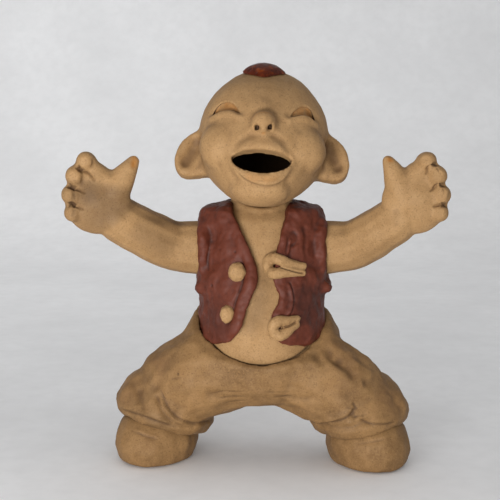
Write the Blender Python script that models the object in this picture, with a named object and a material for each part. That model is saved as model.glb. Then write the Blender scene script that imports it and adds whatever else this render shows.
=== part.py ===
"""Hand-built clay child figurine, in metres, +Z up, facing -Y.

A laughing child in a squat opens both arms. The child's own right side is at -X. Each piece is made the
way the clay was: rolled or lofted, pressed together and rounded with a wet finger, given its folds and
lines, and then seated on the piece that carries it, a thin slip gap away.
"""

import math

import bmesh
import bpy
import numpy as np
from mathutils import Matrix, Vector
from mathutils.bvhtree import BVHTree

# How the clay is worked
SLIP_GAP = 0.00035
CLAY_GRAIN = 0.0013
FINE_GRAIN = 0.0010
ROUND_SIDES = 32

# Head, in its own frame before it tips back: +Z to the crown, -Y to the face
HEAD_CENTRE = (0.0009, 0.003)
HEAD_RISE = 0.0222
HEAD_WIDTH = 0.075
HEAD_DEPTH = 0.078
HEAD_CROWN = 0.0415
HEAD_CHIN = 0.0462
HEAD_TILT = math.radians(22)
HEAD_ROLL = math.radians(3.5)
HEAD_WALL = 0.007
EAR_LENGTH = 0.028
EAR_WIDTH = 0.0134
EAR_THICKNESS = 0.010
EAR_HEIGHT = {-1: -0.0126, 1: -0.0104}
NOSE_WIDTH = 0.0146
NOSE_HEIGHT = -0.0056
NOSTRIL_SPACING = 0.0070
NOSTRIL_WIDTH = 0.0039
MOUTH_WIDTH = 0.0335
MOUTH_HEIGHT = 0.0132
MOUTH_CORNER_HEIGHT = -0.0240
LOWER_LIP_THICKNESS = 0.0072
EYE_SPACING = 0.0432
EYE_WIDTH = 0.0160
EYE_HEIGHT = 0.0030
EYE_SLANT = 0.0030
EYE_ARCH = 0.0030
TUFT_WIDTH = 0.025
TUFT_LENGTH = 0.026
TUFT_THICKNESS = 0.0040
TUFT_ASIDE = -0.0016
TUFT_TILT = math.radians(25)

# Torso and neck
NECK_WIDTH = 0.0365
NECK_HEIGHT = 0.168
SHOULDER_HEIGHT = 0.147
CHEST_WIDTH = 0.066
BELLY_WIDTH = 0.069
BELLY_FRONT = 0.040
TORSO_BACK = 0.029
TORSO_FLOOR = 0.049
NAVEL_HEIGHT = 0.0665

# Arms and hands
ARM_THICKNESS = 0.0322
WRIST_THICKNESS = 0.0264
ARM_HEIGHT = 0.1255
ARM_ROOT = 0.020
ELBOW_REACH = 0.058
PALM_REACH = {-1: 0.0937, 1: 0.0868}
PALM_HEIGHT = 0.1552
PALM_FORWARD = 0.022
PALM_SIZE = 0.0380
PALM_THICKNESS = 0.019
FINGER_CURL = 0.0055
FINGER_THICKNESS = 0.0122
THUMB_THICKNESS = 0.0130
THUMB_LEAN = {-1: 0.0200, 1: 0.0150}
THUMB_LENGTH = 0.0232

# Vest
VEST_THICKNESS = 0.0033
VEST_TOP = 0.1500
VEST_HEM = 0.084
VEST_WIDTH = 0.075
ARMHOLE_RIM = 0.0072
RIM_FLARE = {-1: 0.92, 1: 1.44}
KNOB_THICKNESS = 0.0050
UPPER_KNOB_SIZE = 0.0106
LOWER_KNOB_SIZE = 0.0088
LOOP_COIL = 0.0066

# Trousers and shoes
WAIST_RIM = 0.0028
HIP_WIDTH = 0.092
SEAT_BACK = 0.040
CROTCH_HEIGHT = 0.0315
HIP_RISE = 0.065
THIGH_THICKNESS = 0.048
CUFF_SPREAD = 0.0565
CUFF_WIDTH = 0.059
CUFF_HEIGHT = 0.0190
CUFF_RISE = 0.034
CUFF_SLANT = {-1: 0.24, 1: 0.13}
KNEE_RISE = {-1: 0.43, 1: 0.37}
SHOE_SPREAD = 0.0622
SHOE_WIDTH = 0.047
SHOE_LENGTH = 0.061
SHOE_HEIGHT = 0.032
TOE_OUT = math.radians(20)
STEP_FORWARD = 0.005

# Fired clay colours
BUFF_CLAY = (0.50, 0.31, 0.16)
RED_CLAY = (0.15, 0.035, 0.022)
BROWN_CLAY = (0.42, 0.24, 0.115)
GLAZED_RED = (0.20, 0.022, 0.008)


def clear_scene():
    """Removes whatever the file held before."""
    for obj in list(bpy.data.objects):
        bpy.data.objects.remove(obj, do_unlink=True)


def fired(name, colour, roughness):
    """A fired clay finish."""
    material = bpy.data.materials.new(name)
    material.use_nodes = True
    shader = material.node_tree.nodes["Principled BSDF"]
    shader.inputs["Base Color"].default_value = (*colour, 1.0)
    shader.inputs["Roughness"].default_value = roughness
    shader.inputs["Metallic"].default_value = 0.0
    return material


def placed(name, mesh):
    """A new object of this mesh in the scene."""
    obj = bpy.data.objects.new(name, mesh)
    bpy.context.scene.collection.objects.link(obj)
    return obj


def from_bmesh(name, bm):
    """A new object of this bmesh, with its faces turned outwards."""
    bmesh.ops.recalc_face_normals(bm, faces=bm.faces)
    mesh = bpy.data.meshes.new(name)
    bm.to_mesh(mesh)
    bm.free()
    return placed(name, mesh)


def smooth_rows(rows, steps=4):
    """The rows of numbers, with Catmull-Rom rows between them."""
    rows = np.array(rows, float)
    rows = np.vstack([2 * rows[0] - rows[1], rows, 2 * rows[-1] - rows[-2]])
    between = []
    for before, start, end, after in zip(rows, rows[1:], rows[2:], rows[3:]):
        for t in np.arange(steps) / steps:
            between.append(
                start
                + 0.5 * t * (end - before)
                + t**2 * (before - 2.5 * start + 2 * end - 0.5 * after)
                + t**3 * (1.5 * (start - end) + 0.5 * (after - before))
            )
    return np.vstack([between, rows[-2]])


def loft(name, rings):
    """Skins equal rings of points, one after another, and closes both ends."""
    bm = bmesh.new()
    loops = [[bm.verts.new(point) for point in ring] for ring in rings]
    for lower, upper in zip(loops, loops[1:]):
        for i, vert in enumerate(lower):
            after = (i + 1) % len(lower)
            bm.faces.new((vert, lower[after], upper[after], upper[i]))
    bm.faces.new(loops[0])
    bm.faces.new(loops[-1])
    return from_bmesh(name, bm)


def upright(name, rows, grow=0.0):
    """A body of level oval rings. A row is (height, middle x, half width, front y, back y)."""
    turns = [2 * math.pi * i / ROUND_SIDES for i in range(ROUND_SIDES)]
    rings = []
    for height, middle, half_width, front, back in smooth_rows(rows):
        across = max(half_width, 0.0005) + grow
        deep = max((back - front) / 2, 0.0005) + grow
        y = (front + back) / 2
        rings.append([(middle + across * math.cos(a), y + deep * math.sin(a), height) for a in turns])
    return loft(name, rings)


def coil(name, rows, steps=4):
    """A rolled coil of clay with round ends. A row is (x, y, z, radius)."""
    path = smooth_rows(rows, steps)
    first, last = path[0], path[-1]
    start = (path[0] - path[1])[:3]
    end = (path[-1] - path[-2])[:3]
    start /= np.linalg.norm(start)
    end /= np.linalg.norm(end)
    turns = [math.radians(a) for a in (82, 60, 32)]
    head = [(*(first[:3] + start * first[3] * math.sin(a)), first[3] * math.cos(a)) for a in turns]
    tail = [(*(last[:3] + end * last[3] * math.sin(a)), last[3] * math.cos(a)) for a in reversed(turns)]
    points = [*head, *path, *tail]
    curve = bpy.data.curves.new(name, "CURVE")
    curve.dimensions = "3D"
    curve.bevel_depth = 1.0
    curve.bevel_resolution = 4
    curve.use_fill_caps = True
    spline = curve.splines.new("POLY")
    spline.points.add(len(points) - 1)
    for point, (x, y, z, radius) in zip(spline.points, points):
        point.co = (x, y, z, 1.0)
        point.radius = radius
    obj = placed(name, curve)
    mesh = bpy.data.meshes.new_from_object(obj.evaluated_get(bpy.context.evaluated_depsgraph_get()))
    bpy.data.objects.remove(obj)
    bm = bmesh.new()
    bm.from_mesh(mesh)
    bmesh.ops.remove_doubles(bm, verts=bm.verts, dist=1e-6)
    return from_bmesh(name, bm)


def ball(name, centre, size, turn=None):
    """A squeezed ball of clay: its full width, depth and height, turned about its centre."""
    bm = bmesh.new()
    bmesh.ops.create_uvsphere(bm, u_segments=ROUND_SIDES, v_segments=ROUND_SIDES // 2, radius=0.5)
    shape = Matrix.Diagonal((*size, 1.0))
    bm.transform(Matrix.Translation(centre) @ (turn or Matrix.Identity(4)) @ shape)
    return from_bmesh(name, bm)


def slab(name, outline, front, back):
    """A prism along Y of a closed outline of (x, z) points."""
    bm = bmesh.new()
    face = bm.faces.new([bm.verts.new((x, front, z)) for x, z in outline])
    extruded = bmesh.ops.extrude_face_region(bm, geom=[face])
    verts = [item for item in extruded["geom"] if isinstance(item, bmesh.types.BMVert)]
    bmesh.ops.translate(bm, verts=verts, vec=(0, back - front, 0))
    return from_bmesh(name, bm)


def apply_modifiers(obj):
    """Makes the object's evaluated shape its own mesh."""
    bpy.context.view_layer.update()
    mesh = bpy.data.meshes.new_from_object(obj.evaluated_get(bpy.context.evaluated_depsgraph_get()))
    obj.modifiers.clear()
    obj.data = mesh


def fuse(name, pieces, grain=CLAY_GRAIN, rounding=5):
    """Presses overlapping pieces into one lump and smooths its joins."""
    bm = bmesh.new()
    for piece in pieces:
        bm.from_mesh(piece.data)
        bpy.data.objects.remove(piece)
    lump = from_bmesh(name, bm)
    remesh = lump.modifiers.new("Knead", "REMESH")
    remesh.mode = "VOXEL"
    remesh.voxel_size = grain
    smooth = lump.modifiers.new("Round", "SMOOTH")
    smooth.factor = 0.5
    smooth.iterations = rounding
    apply_modifiers(lump)
    return lump


def cut(obj, cutter):
    """Cuts the cutter's space out of the object and throws the cutter away."""
    boolean = obj.modifiers.new("Cut", "BOOLEAN")
    boolean.operation = "DIFFERENCE"
    boolean.object = cutter
    apply_modifiers(obj)
    bpy.data.objects.remove(cutter)


def swollen(obj, distance):
    """A copy of the object whose surface stands this far out."""
    copy = placed(f"{obj.name}_swollen", obj.data.copy())
    copy.matrix_world = obj.matrix_world.copy()
    points = np.empty(len(copy.data.vertices) * 3)
    normals = np.empty_like(points)
    copy.data.vertices.foreach_get("co", points)
    copy.data.vertices.foreach_get("normal", normals)
    copy.data.vertices.foreach_set("co", points + normals * distance)
    copy.data.update()
    return copy


def drop_crumbs(obj):
    """Keeps the largest connected body and deletes the crumbs that a cut left."""
    bm = bmesh.new()
    bm.from_mesh(obj.data)
    bmesh.ops.remove_doubles(bm, verts=bm.verts, dist=1e-6)
    unseen, bodies = set(bm.verts), []
    while unseen:
        body, edge_of_search = set(), [unseen.pop()]
        while edge_of_search:
            vert = edge_of_search.pop()
            body.add(vert)
            for edge in vert.link_edges:
                other = edge.other_vert(vert)
                if other in unseen:
                    unseen.remove(other)
                    edge_of_search.append(other)
        bodies.append(body)
    largest = max(bodies, key=len)
    loose = [vert for body in bodies if body is not largest for vert in body]
    bmesh.ops.delete(bm, geom=loose, context="VERTS")
    bm.to_mesh(obj.data)
    bm.free()


def seat(piece, *carriers):
    """Cuts the piece back so that it lies one slip gap off each piece that it is pressed on."""
    for carrier in carriers:
        cut(piece, swollen(carrier, SLIP_GAP))
    drop_crumbs(piece)


def thin_out(obj, triangles):
    """Brings the mesh down to about this many triangles, where the shape is flattest first."""
    have = sum(len(polygon.vertices) - 2 for polygon in obj.data.polygons)
    decimate = obj.modifiers.new("Thin", "DECIMATE")
    decimate.ratio = min(1.0, triangles / have)
    decimate.use_collapse_triangulate = True
    apply_modifiers(obj)


def distance_to_line(points, line):
    """How far each of the points is from a line of straight stretches."""
    nearest = np.full(len(points), np.inf)
    for start, end in zip(line, line[1:]):
        along = end - start
        share = np.clip((points - start) @ along / max(along @ along, 1e-12), 0, 1)
        nearest = np.minimum(nearest, np.linalg.norm(points - start - share[:, None] * along, axis=1))
    return nearest


def press(obj, line, width, depth, facing=-1):
    """Draws a tool along a line of (x, z) points on the front, or on the back where facing is 1.

    A positive depth presses a groove into the clay and a negative one raises a ridge, of this width.
    """
    points = np.empty(len(obj.data.vertices) * 3)
    normals = np.empty_like(points)
    obj.data.vertices.foreach_get("co", points)
    obj.data.vertices.foreach_get("normal", normals)
    points, normals = points.reshape(-1, 3), normals.reshape(-1, 3)
    line = smooth_rows(line) if len(line) > 2 else np.array(line, float)
    share = np.clip(distance_to_line(points[:, [0, 2]], line) * 2 / width, 0, 1)
    outside = np.clip(normals[:, 1] * facing * 3, 0, 1)
    depths = depth * (1 - share**2) ** 2 * outside
    obj.data.vertices.foreach_set("co", (points - normals * depths[:, None]).ravel())
    obj.data.update()


def front_surface(obj, x, z):
    """The y of the object's foremost surface at this place."""
    tree = BVHTree.FromObject(obj, bpy.context.evaluated_depsgraph_get())
    hit, *_ = tree.ray_cast(Vector((x, -1.0, z)), Vector((0, 1, 0)))
    return hit.y


def mirrored(points, side):
    """The (x, z) points, on the side at -X or +X."""
    return [(side * x, z) for x, z in points]


def head_frame():
    """Where the head sits and how it tips back and leans."""
    turn = Matrix.Rotation(-HEAD_TILT, 4, "X") @ Matrix.Rotation(HEAD_ROLL, 4, "Y")
    return Matrix.Translation((*HEAD_CENTRE, NECK_HEIGHT + HEAD_RISE)) @ turn


def skull_rows(inset=0.0):
    """The rings of the head from chin to crown, worked out from its width, depth, crown and chin."""
    width, depth = HEAD_WIDTH / 2 - inset, HEAD_DEPTH / 2 - inset
    crown, chin = HEAD_CROWN - inset, -HEAD_CHIN + inset
    return [
        (chin, 0.0, 0.0, -0.42 * depth, -0.42 * depth),
        (0.94 * chin, 0.0, 0.33 * width, -0.68 * depth, -0.06 * depth),
        (0.82 * chin, 0.0, 0.56 * width, -0.86 * depth, 0.22 * depth),
        (0.61 * chin, 0.0, 0.79 * width, -0.98 * depth, 0.58 * depth),
        (0.41 * chin, 0.0, 0.92 * width, -1.01 * depth, 0.80 * depth),
        (0.16 * chin, 0.0, 0.99 * width, -0.99 * depth, 0.95 * depth),
        (0.18 * crown, 0.0, width, -0.93 * depth, 1.01 * depth),
        (0.50 * crown, 0.0, 0.87 * width, -0.78 * depth, 0.92 * depth),
        (0.78 * crown, 0.0, 0.62 * width, -0.51 * depth, 0.68 * depth),
        (0.94 * crown, 0.0, 0.33 * width, -0.24 * depth, 0.40 * depth),
        (crown, 0.0, 0.0, 0.08 * depth, 0.08 * depth),
    ]


def mouth_outline(grow=0.0):
    """The laughing mouth, nearly flat above and deep below."""
    rise, drop = 0.23 * MOUTH_HEIGHT + grow, 0.77 * MOUTH_HEIGHT + grow
    reach = MOUTH_WIDTH / 2 + grow
    outline = []
    for i in range(ROUND_SIDES):
        a = 2 * math.pi * i / ROUND_SIDES
        height = math.sin(a) * (rise if math.sin(a) > 0 else drop)
        outline.append((reach * math.cos(a), MOUTH_CORNER_HEIGHT + height))
    return outline


EAR_OUTLINE = (
    # how far out from the side of the head, as a share of EAR_WIDTH, and how far up, of EAR_LENGTH
    (-0.60, 0.46),
    (-0.05, 0.52),
    (0.42, 0.41),
    (0.80, 0.22),
    (1.00, -0.04),
    (0.98, -0.27),
    (0.76, -0.45),
    (0.40, -0.51),
    (-0.10, -0.48),
    (-0.70, -0.42),
)


def ear(side):
    """One ear: a slab of clay on the side of the head, round above and nearly flat below."""
    outline = []
    for out, up in smooth_rows(EAR_OUTLINE, 3):
        outline.append((side * (HEAD_WIDTH / 2 + out * EAR_WIDTH), EAR_HEIGHT[side] + up * EAR_LENGTH))
    return slab("ear", outline, 0.003 - EAR_THICKNESS / 2, 0.003 + EAR_THICKNESS / 2)


def face_lumps():
    """Nose, muzzle, lower lip, cheeks and chin, each pressed on the front of the skull."""
    front = -HEAD_DEPTH / 2
    lip = LOWER_LIP_THICKNESS / 2
    corner, reach = MOUTH_CORNER_HEIGHT, MOUTH_WIDTH / 2
    sill = corner - 0.77 * MOUTH_HEIGHT
    lip_path = [
        (-0.98 * reach, front + 0.0060, corner - 0.0020, 0.6 * lip),
        (-0.66 * reach, front + 0.0040, sill + 0.0012, lip),
        (0.0, front + 0.0028, sill - 0.0026, 1.1 * lip),
        (0.66 * reach, front + 0.0040, sill + 0.0012, lip),
        (0.98 * reach, front + 0.0060, corner - 0.0020, 0.6 * lip),
    ]
    lumps = [
        ball("nose", (0, front - 0.0002, NOSE_HEIGHT), (NOSE_WIDTH, 0.0165, NOSE_WIDTH)),
        ball("bridge", (0, front + 0.0070, NOSE_HEIGHT + 0.008), (0.60 * NOSE_WIDTH, 0.013, 0.021)),
        ball("muzzle", (0, front + 0.0072, corner + 0.0046), (MOUTH_WIDTH, 0.0205, 0.0170)),
        ball("chin", (0, front + 0.0160, -0.84 * HEAD_CHIN), (0.034, 0.028, 0.019)),
        coil("lower_lip", lip_path),
    ]
    for side in (-1, 1):
        cheek = (side * 0.265 * HEAD_WIDTH, front + 0.0190, -0.0140)
        lumps.append(ball("cheek", cheek, (0.033, 0.028, 0.030)))
    return lumps


def draw_eye(head, side):
    """A shut, laughing eye: a scooped lid over a bulging lower lid, with a slit between them."""
    middle, half = side * EYE_SPACING / 2, EYE_WIDTH / 2
    slit, lid, below = [], [], []
    for share in (-1.0, -0.5, 0.0, 0.5, 1.0):
        x = middle + share * half
        level = EYE_HEIGHT + share * side * EYE_SLANT / 2
        arch = 1 - share**2
        slit.append((x, level + EYE_ARCH * arch))
        lid.append((x, level + 0.0006 + (EYE_ARCH + 0.0030) * arch))
        below.append((x, level - 0.0028 + (EYE_ARCH + 0.0004) * arch))
    press(head, lid, 0.0062, 0.0012)
    press(head, below, 0.0064, -0.0013)
    press(head, slit, 0.0028, 0.0014)


def nostril(side):
    """One nostril, bored up into the underside of the nose."""
    mouth_of_it = (side * NOSTRIL_SPACING / 2, -HEAD_DEPTH / 2 - 0.0046, NOSE_HEIGHT - 0.0046)
    size = (NOSTRIL_WIDTH, 0.011, 1.5 * NOSTRIL_WIDTH)
    return ball("nostril", mouth_of_it, size, Matrix.Rotation(math.radians(30), 4, "X"))


def make_head():
    """The hollow head with its ears and face. The mouth opens into the hollow."""
    solid = fuse(
        "head",
        [upright("skull", skull_rows()), *(ear(side) for side in (-1, 1)), *face_lumps()],
        FINE_GRAIN,
        14,
    )
    for side in (-1, 1):
        draw_eye(solid, side)
        bowl = []
        for out, up in ((0.12, 0.22), (0.32, -0.02), (0.52, -0.20)):
            bowl.append((side * (HEAD_WIDTH / 2 + out * EAR_WIDTH), EAR_HEIGHT[side] + up * EAR_LENGTH))
        press(solid, bowl, 0.0115, 0.0034)
        smile = [(0.0062, -0.0122), (0.0106, -0.0150), (0.0146, -0.0190), (0.0178, -0.0225)]
        press(solid, mirrored(smile, side), 0.0050, 0.0009)
    sill = MOUTH_CORNER_HEIGHT - 0.77 * MOUTH_HEIGHT
    crease = [(-0.0150, sill + 0.0010), (-0.0080, sill - 0.0045), (0.0, sill - 0.0062)]
    press(solid, [*crease, *((-x, z) for x, z in reversed(crease[:-1]))], 0.0055, 0.0009)
    cut(solid, upright("hollow", skull_rows(HEAD_WALL)))
    cut(solid, slab("mouth", mouth_outline(), -HEAD_DEPTH, -HEAD_DEPTH / 4))
    for side in (-1, 1):
        cut(solid, nostril(side))
    head = fuse("head", [solid], FINE_GRAIN, 2)
    thin_out(head, 2850)
    head.matrix_world = head_frame()
    return head


def make_tuft(head):
    """The diamond of glazed red hair over the forehead."""
    half_width, half_length = TUFT_WIDTH / 2, TUFT_LENGTH / 2
    ahead = Vector((0, -math.sin(TUFT_TILT), math.cos(TUFT_TILT)))
    tree = BVHTree.FromObject(head, bpy.context.evaluated_depsgraph_get())
    root, normal, *_ = tree.ray_cast(ahead + Vector((TUFT_ASIDE, 0, 0)), -ahead)
    lean = Matrix.Rotation(math.atan2(-normal.y, normal.z), 4, "X")
    rows = [(-0.005, 0.92), (0.0, 1.0), (0.40 * TUFT_THICKNESS, 0.98), (0.85 * TUFT_THICKNESS, 0.70)]
    rings = []
    for height, share in smooth_rows([*rows, (TUFT_THICKNESS, 0.22)], 2):
        ring = []
        for i in range(24):
            a = 2 * math.pi * i / 24
            reach = share / (abs(math.cos(a)) ** 1.2 + abs(math.sin(a)) ** 1.2) ** (1 / 1.2)
            x, y = half_width * reach * math.cos(a), half_length * reach * math.sin(a)
            ring.append((x, y, height - (x**2 + y**2) / HEAD_WIDTH))
        rings.append(ring)
    tuft = loft("hair_tuft", rings)
    tuft.data.transform(Matrix.Translation(root) @ lean)
    tuft.matrix_world = head_frame()
    seat(tuft, head)
    thin_out(tuft, 160)
    return tuft


def torso_rows():
    """The rings of neck, chest and belly, from the rounded bottom up."""
    neck, chest, belly = NECK_WIDTH / 2, CHEST_WIDTH / 2, BELLY_WIDTH / 2
    front, back, low, top = -BELLY_FRONT, TORSO_BACK, TORSO_FLOOR, SHOULDER_HEIGHT
    rise = top - low
    return [
        (low, 0.0, 0.0, -0.004, -0.004),
        (low + 0.03 * rise, 0.0, 0.45 * belly, 0.52 * front, 0.44 * back),
        (low + 0.08 * rise, 0.0, 0.72 * belly, 0.78 * front, 0.72 * back),
        (low + 0.17 * rise, 0.0, 0.93 * belly, 0.96 * front, 0.93 * back),
        (low + 0.28 * rise, 0.0, belly, front, back),
        (low + 0.42 * rise, 0.0, belly, 0.965 * front, back),
        (low + 0.57 * rise, 0.0, 0.5 * (belly + chest), 0.86 * front, 0.97 * back),
        (low + 0.72 * rise, 0.0, chest, 0.72 * front, 0.93 * back),
        (low + 0.87 * rise, 0.0, 0.985 * chest, 0.60 * front, 0.87 * back),
        (low + 0.96 * rise, 0.0, 0.93 * chest, 0.50 * front, 0.80 * back),
        (top - 0.0008, 0.0, 0.80 * chest, 0.43 * front, 0.76 * back),
        (top + 0.0028, 0.0, 1.08 * neck, 0.37 * front, 0.74 * back),
        (top + 0.0080, 0.0, 0.97 * neck, 0.33 * front, 0.73 * back),
        (NECK_HEIGHT, 0.0, 0.93 * neck, 0.28 * front, 0.72 * back),
    ]


def make_torso(head):
    """Neck, chest and belly in one lump, with a navel, cut to the underside of the head."""
    torso = fuse("torso", [upright("torso", torso_rows())], CLAY_GRAIN, 3)
    press(torso, [(-0.0022, NAVEL_HEIGHT), (-0.0018, NAVEL_HEIGHT)], 0.0044, -0.0011)
    thin_out(torso, 640)
    seat(torso, head)
    return torso


def arm_path(side):
    """Shoulder, elbow and wrist of one arm, with the radius at each."""
    thick, wrist = ARM_THICKNESS / 2, WRIST_THICKNESS / 2
    palm, reach = PALM_REACH[side], PALM_REACH[side] - ELBOW_REACH
    rise = PALM_HEIGHT - ARM_HEIGHT
    return [
        (side * ARM_ROOT, 0.0, ARM_HEIGHT, 0.97 * thick),
        (side * (ELBOW_REACH - 1.37 * thick), 0.0, ARM_HEIGHT, thick),
        (side * (ELBOW_REACH - 0.37 * thick), -0.10 * PALM_FORWARD, ARM_HEIGHT + 0.05 * rise, 0.92 * thick),
        (side * (ELBOW_REACH + 0.12 * reach), -0.32 * PALM_FORWARD, ARM_HEIGHT + 0.22 * rise, 0.90 * thick),
        (side * (ELBOW_REACH + 0.45 * reach), -0.60 * PALM_FORWARD, ARM_HEIGHT + 0.46 * rise, 1.04 * wrist),
        (side * (ELBOW_REACH + 0.72 * reach), -0.82 * PALM_FORWARD, ARM_HEIGHT + 0.68 * rise, wrist),
        (side * palm, -PALM_FORWARD, PALM_HEIGHT, 0.68 * wrist),
    ]


FINGERS = (
    # reach out and height above the palm's middle as shares of PALM_SIZE, and the share of FINGER_THICKNESS
    (0.158, 0.611, 1.00),
    (0.311, 0.395, 1.06),
    (0.387, 0.108, 1.02),
    (0.363, -0.163, 0.94),
)


def finger(side, reach, height, share):
    """One finger, which leaves the palm's edge and curls forward."""
    x, z = side * PALM_REACH[side], PALM_HEIGHT
    reach, height = reach * PALM_SIZE, height * PALM_SIZE
    radius = share * FINGER_THICKNESS / 2
    level = -PALM_FORWARD
    rows = [
        (x + side * 0.20 * reach, level + 0.001, z + 0.20 * height, 1.10 * radius),
        (x + side * 0.64 * reach, level, z + 0.64 * height, 1.12 * radius),
        (x + side * 0.94 * reach, level - 0.40 * FINGER_CURL, z + 0.94 * height, 1.06 * radius),
        (x + side * reach, level - FINGER_CURL, z + height, 0.92 * radius),
    ]
    return coil("finger", rows)


def knuckles(side):
    """The clay that joins the fingers where they leave the palm."""
    rows = []
    for reach, height, share in FINGERS:
        x, z = side * (PALM_REACH[side] + 0.56 * reach * PALM_SIZE), PALM_HEIGHT + 0.56 * height * PALM_SIZE
        rows.append((x, -PALM_FORWARD, z, 0.52 * share * FINGER_THICKNESS))
    return coil("knuckles", rows)


def web(side):
    """The web of clay between the first finger and the thumb."""
    x, z, radius = side * PALM_REACH[side], PALM_HEIGHT, THUMB_THICKNESS / 2
    reach, height = FINGERS[0][0] * PALM_SIZE, FINGERS[0][1] * PALM_SIZE
    lean = -side * THUMB_LEAN[side]
    rows = [
        (x + side * 0.30 * reach, -PALM_FORWARD, z + 0.66 * height, 1.20 * radius),
        (x + 0.24 * lean, -PALM_FORWARD, z + 0.48 * THUMB_LENGTH, 1.16 * radius),
        (x + 0.56 * lean, -PALM_FORWARD, z + 0.42 * THUMB_LENGTH, 1.24 * radius),
    ]
    return coil("web", rows)


def thumb(side):
    """The thumb, which stands up from the palm and leans towards the head."""
    x, z, radius = side * PALM_REACH[side], PALM_HEIGHT, THUMB_THICKNESS / 2
    lean, level = -side * THUMB_LEAN[side], -PALM_FORWARD
    rows = [
        (x + 0.25 * lean, level, z - 0.05 * THUMB_LENGTH, 1.40 * radius),
        (x + 0.58 * lean, level, z + 0.38 * THUMB_LENGTH, 1.34 * radius),
        (x + 0.85 * lean, level - 0.001, z + 0.74 * THUMB_LENGTH, 0.92 * radius),
        (x + 1.02 * lean, level, z + 0.97 * THUMB_LENGTH, 0.58 * radius),
    ]
    return coil("thumb", rows)


def make_arm(name, side, torso):
    """One arm with its open hand, luted to the side of the torso."""
    palm = (side * PALM_REACH[side], -PALM_FORWARD, PALM_HEIGHT)
    pieces = [
        coil("arm", arm_path(side)),
        ball("palm", palm, (PALM_SIZE, PALM_THICKNESS, PALM_SIZE)),
        knuckles(side),
        web(side),
        thumb(side),
        *(finger(side, *each) for each in FINGERS),
    ]
    arm = fuse(name, pieces, FINE_GRAIN, 3)
    thin_out(arm, 1080)
    seat(arm, torso)
    return arm


def vest_rows():
    """The outside of the vest, a slab of red clay wrapped round the torso."""
    half, front, back = VEST_WIDTH / 2, -BELLY_FRONT - VEST_THICKNESS, TORSO_BACK + VEST_THICKNESS
    low, top = TORSO_FLOOR, SHOULDER_HEIGHT
    rise = top - low
    return [
        (low + 0.10 * rise, 0.0, 0.93 * half, 0.93 * front, 0.88 * back),
        (low + 0.20 * rise, 0.0, 0.975 * half, 0.99 * front, 0.97 * back),
        (low + 0.36 * rise, 0.0, 0.985 * half, 0.995 * front, back),
        (low + 0.52 * rise, 0.0, 0.985 * half, 0.92 * front, 0.98 * back),
        (low + 0.60 * rise, 0.0, 1.04 * half, 0.87 * front, 0.98 * back),
        (low + 0.70 * rise, 0.0, half, 0.79 * front, 0.96 * back),
        (low + 0.86 * rise, 0.0, 0.98 * half, 0.68 * front, 0.92 * back),
        (low + 0.96 * rise, 0.0, 0.98 * half, 0.59 * front, 0.87 * back),
        (VEST_TOP - 0.002, 0.0, 0.98 * half, 0.54 * front, 0.84 * back),
        (VEST_TOP, 0.0, 0.90 * half, 0.50 * front, 0.81 * back),
        (VEST_TOP + 0.0028, 0.0, 0.60 * half, 0.46 * front, 0.76 * back),
    ]


def on_vest(across, up):
    """A place on the vest's front: a share of half its width, and of its height over the torso's base."""
    return across * VEST_WIDTH / 2, TORSO_FLOOR + up * (VEST_TOP - TORSO_FLOOR)


def vest_edge(shares, clear_of):
    """A front edge of the vest as a smooth line of (x, z) points, carried out past its side."""
    points = [on_vest(*share) for share in shares]
    return [tuple(point) for point in smooth_rows([*points, (clear_of, points[-1][1] + 0.004)], 4)]


def front_opening():
    """What is open at the front: the V of the neck, the gap over the belly and what is under the hems."""
    right = [
        (-0.507, 1.118),
        (-0.459, 0.990),
        (-0.277, 0.853),
        (-0.075, 0.665),
        (-0.135, 0.557),
        (-0.280, 0.409),
        (-0.435, 0.288),
        (-0.620, 0.254),
        (-0.860, 0.250),
    ]
    left = [
        (0.400, 1.118),
        (0.379, 0.990),
        (0.272, 0.853),
        (0.160, 0.631),
        (0.262, 0.520),
        (0.128, 0.419),
        (0.208, 0.296),
        (0.427, 0.248),
        (0.640, 0.240),
        (0.860, 0.250),
    ]
    aside, below = VEST_WIDTH, 0.5 * TORSO_FLOOR
    return [
        *vest_edge(right, -aside),
        (-aside, below),
        (aside, below),
        *reversed(vest_edge(left, aside)),
    ]


def armhole_rim(side):
    """The thick rim of clay that the vest turns up round one arm."""
    radius, thick = ARM_THICKNESS / 2 + 0.17 * ARMHOLE_RIM, ARMHOLE_RIM / 2
    rows = []
    for i in range(15):
        a = 2 * math.pi * i / 14
        x, y = side * (VEST_WIDTH / 2 - 0.94 * thick), radius * math.cos(a)
        rows.append((x, y, ARM_HEIGHT + radius * math.sin(a), thick))
    return coil("armhole_rim", rows, 2)


def rim_flare(side):
    """The lip of clay that the rim turns out under one arm."""
    thick = ARMHOLE_RIM
    out, low = VEST_WIDTH / 2 - 0.2 * thick, ARM_HEIGHT - ARM_THICKNESS / 2 - 0.7 * thick
    centre = (side * out, -1.1 * thick, low)
    return ball("rim_flare", centre, (RIM_FLARE[side] * thick, 2.8 * thick, 1.28 * thick))


VEST_PRESSES = (
    # each stroke as its (across, up) shares of the vest, with its width and its depth
    (((-0.200, 0.818), (0.005, 0.665), (-0.112, 0.483), (-0.373, 0.325)), 0.0080, -0.0009),
    (((0.315, 0.847), (0.253, 0.680), (0.333, 0.532), (0.200, 0.414)), 0.0070, -0.0010),
    (((-0.693, 0.897), (-0.800, 0.680)), 0.0140, 0.0008),
    (((0.440, 0.808), (0.400, 0.719)), 0.0050, 0.0012),
)


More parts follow.
